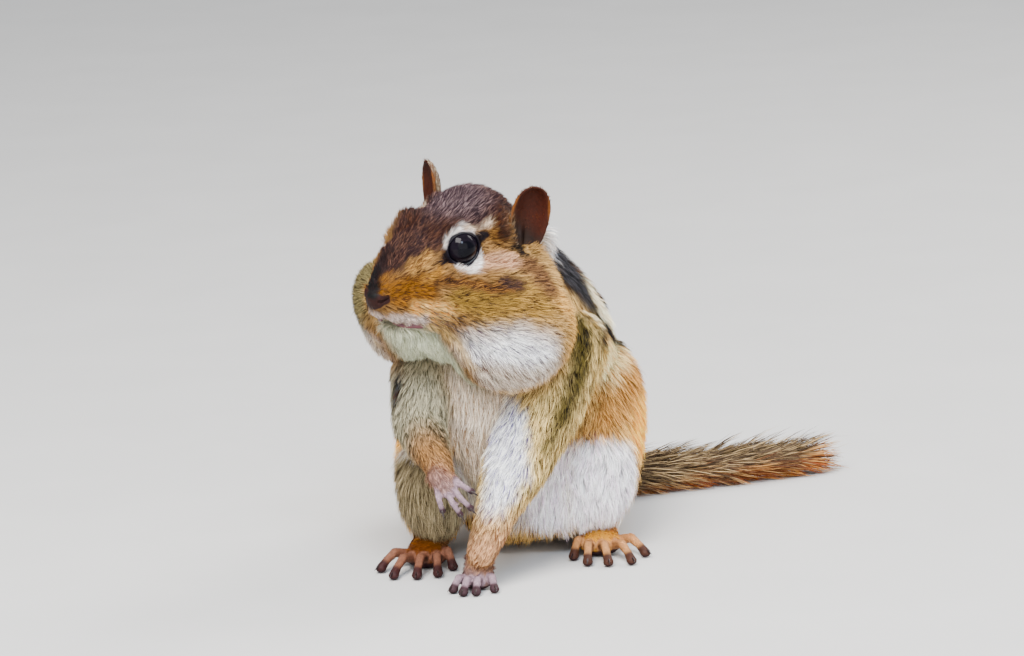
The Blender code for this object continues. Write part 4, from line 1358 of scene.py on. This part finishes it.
def hair_strips(roots, normals, lie, coat, segments):
    """Corners and colours of tapered strips that rise from the skin and bend to lie along it."""
    count = len(roots)
    pull, shared = clump_pull(roots, 1.25, 71)
    broad_pull, broad = clump_pull(roots, 3.4, 81)
    side = np.cross(normals, lie)
    swing = (shared[:, :1] - 0.5) * 0.55 + (broad[:, :1] - 0.5) * 0.35 + RANDOM.normal(0, 0.09, (count, 1))
    lie = unit(lie + side * swing)
    side = np.cross(normals, lie)
    length = coat.length * (0.72 + 0.28 * shared[:, 1] + RANDOM.normal(0, 0.12, count))
    length = np.maximum(length, 0.35)
    lift = np.radians(coat.lift * (0.75 + 0.5 * shared[:, 2]) + RANDOM.normal(0, 4, count))
    roll = RANDOM.normal(0, 0.45, (count, 1))
    face = normals * np.cos(roll) + side * np.sin(roll)
    width = coat.width * RANDOM.uniform(0.75, 1.3, count)
    levels = []
    position = roots - normals * 0.08
    for k in range(segments + 1):
        passed = k / segments
        if k:
            middle = (k - 0.5) / segments
            angle = lift * (1 - middle) ** 0.9 + np.radians(7) * middle
            heading = lie * np.cos(angle)[:, None] + normals * np.sin(angle)[:, None]
            position = position + heading * (length / segments)[:, None]
        tight = 0.62 * passed**1.4
        levels.append(position + pull * tight)
    strips = []
    for k in range(segments):
        heading = unit(levels[k + 1] - levels[k])
        across = unit(np.cross(heading, face))
        taper = (1 - k / segments) ** 0.6 * (0.8 if k == 0 else 1.0)
        half = across * (width * taper / 2)[:, None]
        strips += [levels[k] - half, levels[k] + half]
    strips.append(levels[segments])
    ticked = RANDOM.random(count) < np.clip(coat.share * (0.55 + 0.9 * shared[:, 0]), 0, 1)
    colour = np.where(ticked[:, None], coat.tick, coat.ground)
    colour = colour * (0.80 + 0.40 * RANDOM.random((count, 1))) * (0.84 + 0.32 * shared[:, 2:3])
    depth_shade = [0.42, 0.86, 1.04, 1.10, 1.12]
    colours = []
    for k in range(segments):
        shade = np.interp(k / segments, (0, 0.34, 0.67, 1.0), depth_shade[:4])
        colours += [colour * shade, colour * shade]
    colours.append(colour * depth_shade[3])
    return np.stack(strips, axis=1), np.clip(np.stack(colours, axis=1), 0, 1)


PATCH = 0.003


def strip_mesh(name, strips, colours, places):
    """A mesh of all the strips. Each is one patch on the map, at its root's place on the unwrapped skin."""
    count, corners = strips.shape[:2]
    segments = (corners - 1) // 2
    pattern = []
    for k in range(segments - 1):
        a = 2 * k
        pattern += [(a, a + 1, a + 3), (a, a + 3, a + 2)]
    pattern.append((2 * segments - 2, 2 * segments - 1, 2 * segments))
    pattern = np.array(pattern)
    triangles = (np.arange(count)[:, None, None] * corners + pattern[None]).reshape(-1, 3)
    moved = (strips.reshape(-1, 3) + np.array(SHIFT)) * METRES_PER_MM
    mesh = bpy.data.meshes.new(name)
    mesh.vertices.add(len(moved))
    mesh.vertices.foreach_set("co", moved.astype(np.float32).ravel())
    mesh.loops.add(triangles.size)
    mesh.loops.foreach_set("vertex_index", triangles.astype(np.int32).ravel())
    mesh.polygons.add(len(triangles))
    mesh.polygons.foreach_set("loop_start", np.arange(0, triangles.size, 3, dtype=np.int32))
    mesh.polygons.foreach_set("use_smooth", np.ones(len(triangles), bool))
    shade = mesh.color_attributes.new("coat", "FLOAT_COLOR", "POINT")
    rgba = np.concatenate([colours.reshape(-1, 3), np.ones((len(moved), 1))], axis=1)
    shade.data.foreach_set("color", rgba.astype(np.float32).ravel())
    local = []
    for k in range(segments):
        local += [(0.0, k / segments), (1.0, k / segments)]
    local.append((0.5, 1.0))
    patch = (np.array(local) - 0.5) * PATCH
    corner_map = (np.clip(places, PATCH, 1 - PATCH)[:, None, :] + patch[None]).reshape(-1, 2)
    layer = mesh.uv_layers.new(name="OFBake")
    layer.data.foreach_set("uv", corner_map[triangles.ravel()].astype(np.float32).ravel())
    mesh.update(calc_edges=True)
    mesh.validate()
    thing = bpy.data.objects.new(name, mesh)
    bpy.context.scene.collection.objects.link(thing)
    return thing


def unwrapped(points, region):
    """Each root's place on its region's skin, unrolled about the region's own axis."""
    if region == "head":
        local = transform(points, HEAD.inverted()) - np.array((0, 0, -10))
        angle = np.arctan2(local[:, 2], np.abs(local[:, 1])) / math.pi + 0.5
        return np.stack([angle, (local[:, 0] + 24) / 48], axis=1)
    if region == "trunk":
        share, angle, radius = from_spine(points)
        gap, way, passed = from_path(points, [((0, 18, 40), 0), ((3, 92, 20), 0)])
        return np.stack([np.abs(angle) / 180, 0.5 * share + 0.5 * passed], axis=1)
    if region in ("ear_left", "ear_right"):
        side = 1 if region == "ear_left" else -1
        local = transform(points, ear_frame(side).inverted())
        around = np.arctan2(local[:, 1], local[:, 0] + 1.5) / (2 * math.pi) + 0.5
        return np.stack([around * 0.5 + (0.5 if side < 0 else 0.0), local[:, 2] / EAR_HEIGHT], axis=1)
    if region == "paws":
        which = (points[:, 0] > -4).astype(float)
        fore = (points[:, 1] < 10).astype(float)
        which = np.where(fore > 0, (points[:, 2] < 14).astype(float), which)
        around = np.arctan2(points[:, 2] % 14 - 2.5, np.sin(points[:, 0] * 0.7)) / (2 * math.pi) + 0.5
        along = (points[:, 1] * 0.05) % 1.0
        return np.stack([around * 0.5 + which * 0.5, along * 0.5 + fore * 0.5], axis=1)
    paths = {
        "foreleg_left": LEFT_FORELEG,
        "foreleg_right": RIGHT_FORELEG,
        "haunch_left": LEFT_HAUNCH,
        "haunch_right": RIGHT_HAUNCH,
        "tail": TAIL,
    }
    path = [(c, 0.0) for c, r, d in paths[region]]
    gap, way, share = from_path(points, path)
    joints = np.array([c for c, r in path], float)
    position = np.clip(share * (len(path) - 1), 0, len(path) - 1 - 1e-6)
    k = position.astype(int)
    away = points - (joints[k] + (joints[k + 1] - joints[k]) * (position - k)[:, None])
    side = unit(np.cross(way, np.array((0.3, 0.2, 1.0))))
    above = np.cross(side, way)
    angle = np.arctan2(np.sum(away * side, axis=1), np.sum(away * above, axis=1)) / (2 * math.pi) + 0.5
    return np.stack([angle, share], axis=1)


COAT_PIECES = {
    "head": (2, "body_coat"),
    "trunk": (3, "body_coat"),
    "foreleg_left": (3, "leg_coat"),
    "foreleg_right": (3, "leg_coat"),
    "haunch_left": (3, "leg_coat"),
    "haunch_right": (3, "leg_coat"),
    "tail": (4, "tail_coat"),
    "paws": (2, "paw"),
    "ear_left": (2, "ear"),
    "ear_right": (2, "ear"),
}


def coat_groups(roots, region, here):
    """The hairs of a region, shared between pieces that stay small."""
    if region not in ("head", "trunk"):
        return [(f"fur_{region}", here)]
    left = transform(roots, HEAD.inverted())[:, 1] >= 0 if region == "head" else roots[:, 0] >= 0
    over = RANDOM.random(len(roots)) < 0.5
    return [
        (f"fur_{region}_left_under", here & left & ~over),
        (f"fur_{region}_left_over", here & left & over),
        (f"fur_{region}_right_under", here & ~left & ~over),
        (f"fur_{region}_right_over", here & ~left & over),
    ]


def grow_coat(surface, material):
    mixed = surface.scattered()
    roots = mixed(surface.places)
    normals = unit(mixed(surface.normals))
    weights = mixed(surface.weights)
    grown = surface.coat
    length = mixed(grown.length)
    lie = lie_of_coat(roots, normals, weights)
    # The pattern is read where each hair's outer half lies.
    coat = grown_coat(roots + lie * (length * 0.45)[:, None], normals, weights)
    coat.length = length
    coat.width = mixed(grown.width)
    coat.lift = mixed(grown.lift)
    keep = coat.bare < 0.5
    strongest = np.argmax(weights, axis=1)
    total = 0
    for index, region in enumerate(REGIONS):
        segments, slot = COAT_PIECES[region]
        for name, chosen in coat_groups(roots, region, keep & (strongest == index)):
            chosen = np.flatnonzero(chosen)
            part = coat.taken(chosen)
            strips, colours = hair_strips(roots[chosen], normals[chosen], lie[chosen], part, segments)
            strips[:, :, 2] = np.maximum(strips[:, :, 2], 0.05)
            thing = strip_mesh(name, strips, colours, unwrapped(roots[chosen], region))
            thing.data.materials.append(material)
            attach(thing, "root")
            total += len(thing.data.polygons)
            print(name, len(thing.data.polygons))
    print("coat triangles", total)


def paint_skin(skin, coat):
    """The same markings on the skin, painted darker as the shade under the coat where the hairs part."""
    mixed = coat.ground * (1 - coat.share[:, None]) + coat.tick * coat.share[:, None]
    bare = coat.bare[:, None]
    # Furred skin is painted at 0.55 of the coat's colour as painted shade; bare skin keeps its own colour.
    colour = mixed * 0.55 * (1 - bare) + coat.ground * bare
    shade = skin.data.color_attributes.new("coat", "FLOAT_COLOR", "POINT")
    rgba = np.concatenate([np.clip(colour, 0, 1), np.ones((len(colour), 1))], axis=1)
    shade.data.foreach_set("color", rgba.astype(np.float32).ravel())


# Whiskers.

def whiskers():
    """Long tapered hairs from the sides of the muzzle and the cheek."""
    dice = np.random.default_rng(5)
    flesh = bmesh.new()
    steps = 9
    roots = []
    for row, height in enumerate((-7.2, -8.4, -9.5, -10.5)):
        for column in range(5):
            ahead = 16.6 - 1.35 * column - 0.3 * row
            roots.append((ahead, 4.9 + 0.75 * column, height - 0.25 * column, 13 + 3.2 * column))
    for side in (1, -1):
        for ahead, out, height, length in roots:
            length *= dice.uniform(0.75, 1.15)
            start = Vector((ahead, out * side, height))
            heading = Vector((-0.25 - dice.uniform(0, 0.35), 1.0, -0.42 - dice.uniform(0, 0.35)))
            add_whisker(flesh, HEAD, start, on_side(heading, side), length, dice, steps)
        for k in range(2):
            start = on_side((4 - 3 * k, 15.5 + 2 * k, -13), side)
            add_whisker(flesh, HEAD, start, on_side((-0.4, 1.0, -0.5), side), dice.uniform(8, 11), dice, steps)
    flesh.transform(TO_PART)
    thing = object_from(flesh, "whiskers")
    thing.data.shade_smooth()
    return thing


def add_whisker(flesh, place, start, heading, length, dice, steps):
    heading = heading.normalized()
    sag = Vector((-0.30, 0, -0.42 + dice.uniform(-0.15, 0.15)))
    side = heading.cross(Vector((0, 0, 1))).normalized()
    above = side.cross(heading)
    rings = []
    for k in range(steps):
        share = k / steps
        centre = start + heading * length * share + sag * length * 0.42 * share**2
        radius = 0.085 * (1 - share) ** 0.75 + 0.008
        ring = []
        for j in range(4):
            turn = math.pi * j / 2
            offset = side * math.cos(turn) + above * math.sin(turn)
            ring.append(flesh.verts.new(place @ (centre + offset * radius)))
        rings.append(ring)
    tip = flesh.verts.new(place @ (start + heading * length + sag * length * 0.42))
    for low, high in zip(rings, rings[1:]):
        for j in range(4):
            i = (j + 1) % 4
            flesh.faces.new((low[j], low[i], high[i], high[j]))
    for j in range(4):
        flesh.faces.new((rings[-1][j], rings[-1][(j + 1) % 4], tip))
    flesh.faces.new(rings[0][::-1])


def lips(skin_tree):
    """Two soft ridges that meet along the line of the mouth."""
    flesh = bmesh.new()
    line = [Vector(place) for place, radius in LIP_LINE]
    whole = [on_side(place, -1) for place in reversed(line[1:])] + line
    fine = []
    for k in range(len(whole) - 1):
        before = whole[max(k - 1, 0)]
        after = whole[min(k + 2, len(whole) - 1)]
        for step in range(8):
            t = step / 8
            a, b = whole[k], whole[k + 1]
            point = 0.5 * (
                2 * a + (b - before) * t + (2 * before - 5 * a + 4 * b - after) * t**2
                + (3 * a - before - 3 * b + after) * t**3
            )
            fine.append(point)
    fine.append(whole[-1])
    for offset, size in ((0.42, 0.50), (-0.42, 0.52)):
        rows = []
        for k, point in enumerate(fine):
            place = HEAD @ point
            surface, normal, index, distance = skin_tree.find_nearest(place)
            ends = min(k, len(fine) - 1 - k) / 6
            open_part = float(smooth_step(abs(point.y), 0.6, 3.4)) * 0.92 + 0.08
            thick = size * min(1.0, 0.25 + ends) * open_part
            centre = surface + (HEAD.to_3x3() @ Vector((0, 0, offset))) * min(1.0, 0.3 + ends) - normal * 0.12
            ahead = HEAD @ fine[min(k + 1, len(fine) - 1)] - HEAD @ fine[max(k - 1, 0)]
            ahead.normalize()
            across = ahead.cross(normal).normalized()
            row = []
            for j in range(8):
                turn = 2 * math.pi * j / 8
                row.append(flesh.verts.new(centre + (across * math.cos(turn) + normal * math.sin(turn)) * thick))
            rows.append(row)
        for low, high in zip(rows, rows[1:]):
            for j in range(8):
                i = (j + 1) % 8
                flesh.faces.new((low[j], low[i], high[i], high[j]))
        flesh.faces.new(rows[0][::-1])
        flesh.faces.new(rows[-1])
    bmesh.ops.recalc_face_normals(flesh, faces=flesh.faces)
    flesh.transform(TO_PART)
    thing = object_from(flesh, "lips")
    thing.data.shade_smooth()
    return thing


# Materials. Each has its own small procedural detail.

def new_material(name, roughness, specular=0.5):
    made = bpy.data.materials.new(name)
    made.use_nodes = True
    shader = made.node_tree.nodes["Principled BSDF"]
    shader.inputs["Roughness"].default_value = roughness
    shader.inputs["Specular IOR Level"].default_value = specular
    return made, made.node_tree, shader


def noise_node(tree, scale, detail=2.0):
    place = tree.nodes.new("ShaderNodeTexCoord")
    texture = tree.nodes.new("ShaderNodeTexNoise")
    texture.inputs["Scale"].default_value = scale
    texture.inputs["Detail"].default_value = detail
    tree.links.new(place.outputs["Object"], texture.inputs["Vector"])
    return texture


def varied(tree, colour_output, shader, scale, low, high):
    """Multiplies the colour by fine noise."""
    texture = noise_node(tree, scale)
    spread = tree.nodes.new("ShaderNodeMapRange")
    spread.inputs["From Min"].default_value = 0.3
    spread.inputs["From Max"].default_value = 0.7
    spread.inputs["To Min"].default_value = low
    spread.inputs["To Max"].default_value = high
    tree.links.new(texture.outputs["Fac"], spread.inputs["Value"])
    mix = tree.nodes.new("ShaderNodeMix")
    mix.data_type = "RGBA"
    mix.blend_type = "MULTIPLY"
    mix.inputs["Factor"].default_value = 1.0
    tree.links.new(colour_output, mix.inputs["A"])
    tree.links.new(spread.outputs["Result"], mix.inputs["B"])
    tree.links.new(mix.outputs["Result"], shader.inputs["Base Color"])


def bumped(tree, shader, scale, strength, distance, detail=3.0):
    texture = noise_node(tree, scale, detail)
    bump = tree.nodes.new("ShaderNodeBump")
    bump.inputs["Strength"].default_value = strength
    bump.inputs["Distance"].default_value = distance
    tree.links.new(texture.outputs["Fac"], bump.inputs["Height"])
    tree.links.new(bump.outputs["Normal"], shader.inputs["Normal"])


def attribute_colour(tree):
    node = tree.nodes.new("ShaderNodeAttribute")
    node.attribute_name = "coat"
    return node


def fur_material():
    made, tree, shader = new_material("fur", 0.62, 0.12)
    varied(tree, attribute_colour(tree).outputs["Color"], shader, 900, 0.9, 1.1)
    return made


def skin_material():
    made, tree, shader = new_material("skin", 0.6, 0.14)
    varied(tree, attribute_colour(tree).outputs["Color"], shader, 1400, 0.82, 1.15)
    bumped(tree, shader, 2600, 0.5, 0.0002)
    return made


def painted_material(name, colour, roughness, specular, scale, bump, spread=0.25):
    made, tree, shader = new_material(name, roughness, specular)
    base = tree.nodes.new("ShaderNodeRGB")
    base.outputs["Color"].default_value = (*colour, 1.0)
    varied(tree, base.outputs["Color"], shader, scale, 1 - spread, 1 + spread)
    bumped(tree, shader, scale * 2, bump, 0.0001)
    return made


def eye_material():
    made, tree, shader = new_material("eye", 0.05, 0.08)
    varied(tree, attribute_colour(tree).outputs["Color"], shader, 700, 0.8, 1.2)
    return made


# Camera, lights and floor.

LOOK_AT = Vector((0, 15, 57.7))
CAMERA_DISTANCE = 1200.0
CAMERA_ELEVATION = math.radians(12)
CAMERA_ROLL = math.radians(-2.5)
PICTURE_WIDTH_PX = 1024
PX_PER_MM = 4.4
SENSOR_WIDTH = 36.0


def add_camera():
    data = bpy.data.cameras.new("camera")
    camera = bpy.data.objects.new("camera", data)
    bpy.context.scene.collection.objects.link(camera)
    bpy.context.scene.camera = camera
    data.sensor_width = SENSOR_WIDTH
    data.lens = SENSOR_WIDTH * CAMERA_DISTANCE / (PICTURE_WIDTH_PX / PX_PER_MM)
    data.clip_start = 0.01
    back = Vector((0, -math.cos(CAMERA_ELEVATION), math.sin(CAMERA_ELEVATION)))
    camera.location = (LOOK_AT + SHIFT + back * CAMERA_DISTANCE) * METRES_PER_MM
    camera.rotation_mode = "QUATERNION"
    level = (-back).to_track_quat("-Z", "Y")
    camera.rotation_quaternion = level @ Quaternion((0, 0, 1), CAMERA_ROLL)


def add_light(name, azimuth, elevation, distance, size, watts, colour=(1, 1, 1)):
    """A square soft light. Azimuth 0 is in front, and it grows towards the animal's left."""
    data = bpy.data.lights.new(name, "AREA")
    data.shape = "SQUARE"
    data.size = size
    data.energy = watts
    data.color = colour
    lamp = bpy.data.objects.new(name, data)
    bpy.context.scene.collection.objects.link(lamp)
    a, e = math.radians(azimuth), math.radians(elevation)
    away = Vector((math.sin(a) * math.cos(e), -math.cos(a) * math.cos(e), math.sin(e)))
    lamp.location = Vector((0, 0, 0.045)) + away * distance
    lamp.rotation_mode = "QUATERNION"
    lamp.rotation_quaternion = away.to_track_quat("Z", "Y")


def add_floor():
    flesh = bmesh.new()
    bmesh.ops.create_grid(flesh, x_segments=1, y_segments=1, size=3.0)
    floor = object_from(flesh, "floor")
    floor.data.materials.append(painted_material("floor", (0.56, 0.55, 0.535), 0.8, 0.3, 30, 0.05, 0.02))


def add_world():
    world = bpy.data.worlds.new("studio")
    bpy.context.scene.world = world
    world.use_nodes = True
    background = world.node_tree.nodes["Background"]
    background.inputs["Color"].default_value = (0.90, 0.94, 1.0, 1.0)
    background.inputs["Strength"].default_value = 0.78


def build_skin():
    """The whole skin in one piece: a finer head with its face and ears, and a body with its paws."""
    flesh = bmesh.new()
    head_flesh(flesh)
    head = fused(flesh, "head_skin", HEAD_VOXEL, 10)
    combine(head, [ear_hollow(1), ear_hollow(-1)], "DIFFERENCE")
    face = fused(face_flesh(), "face", FACE_VOXEL, 5)
    combine(head, [face, ear(1, "ear_cup_left"), ear(-1, "ear_cup_right")], "UNION")
    combine(head, face_cutters() + eye_cutters(1) + eye_cutters(-1), "DIFFERENCE")
    flesh = bmesh.new()
    trunk_flesh(flesh)
    skin = fused(flesh, "skin", BODY_VOXEL, 12)
    parts = [
        head,
        hindfoot(1, (17.0, 48.5, 0), (18.7, 27.5, 0), "left"),
        hindfoot(-1, (-19.7, 44, 0), (-22.6, 23, 0), "right"),
        planted_forepaw("planted"),
        lifted_forepaw("lifted"),
    ]
    combine(skin, parts, "UNION")
    for vertex in skin.data.vertices:
        vertex.co.z = max(vertex.co.z, 0.0)
    return skin


def skin_tree(skin):
    flesh = bmesh.new()
    flesh.from_mesh(skin.data)
    tree = BVHTree.FromBMesh(flesh)
    flesh.free()
    return tree


def finish_piece(thing, material):
    thing.data.materials.clear()
    thing.data.materials.append(material)
    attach(thing, "root")


FLESH_NODES = (
    "head", "neck", "chest", "rump", "foreleg_left", "foreleg_right", "forepaw_left", "forepaw_right",
    "hindleg_left", "hindleg_right", "hindfoot_left", "hindfoot_right", "ear_left", "ear_right",
    "tail_base", "tail_middle", "tail_tip",
)


def build():
    skin = build_skin()
    print("skin", len(skin.data.vertices), len(skin.data.polygons))
    Skin.tree = skin_tree(skin)
    surface = Surface(skin)
    paint_skin(skin, surface.coat)
    grow_coat(surface, fur_material())
    skin.data.transform(TO_PART)
    skin.data.shade_smooth()
    finish_piece(skin, skin_material())
    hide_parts(*FLESH_NODES)
    eye = eye_material()
    lid = painted_material("lid", LID_SKIN, 0.32, 0.5, 900, 0.4)
    for side, name in ((1, "left"), (-1, "right")):
        ball = eyeball(side, "eyeball_" + name)
        finish_piece(ball, eye)
        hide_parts("eye_" + name)
        rim = lid_rim(side)
        rim.transform(TO_PART)
        rim = object_from(rim, "lid_rim_" + name)
        rim.data.shade_smooth()
        finish_piece(rim, lid)
    finish_piece(lips(Skin.tree), painted_material("lip", LIP_SKIN, 0.45, 0.4, 1200, 0.4))
    finish_piece(whiskers(), painted_material("whisker", seen(52, 40, 38), 0.4, 0.5, 300, 0.1))
    finish_piece(claws(), painted_material("claw", CLAW_HORN, 0.35, 0.5, 900, 0.3))


build()
add_camera()
add_floor()
add_world()
add_light("key", -20, 52, 0.9, 0.45, 21, (1.0, 0.97, 0.93))
add_light("sky", 10, 42, 1.1, 0.22, 7, (0.62, 0.78, 1.0))
add_light("fill", 15, 6, 1.3, 1.60, 22, (1.0, 0.98, 0.95))
add_light("rim", 120, 40, 0.9, 0.45, 8, (1.0, 0.98, 0.95))
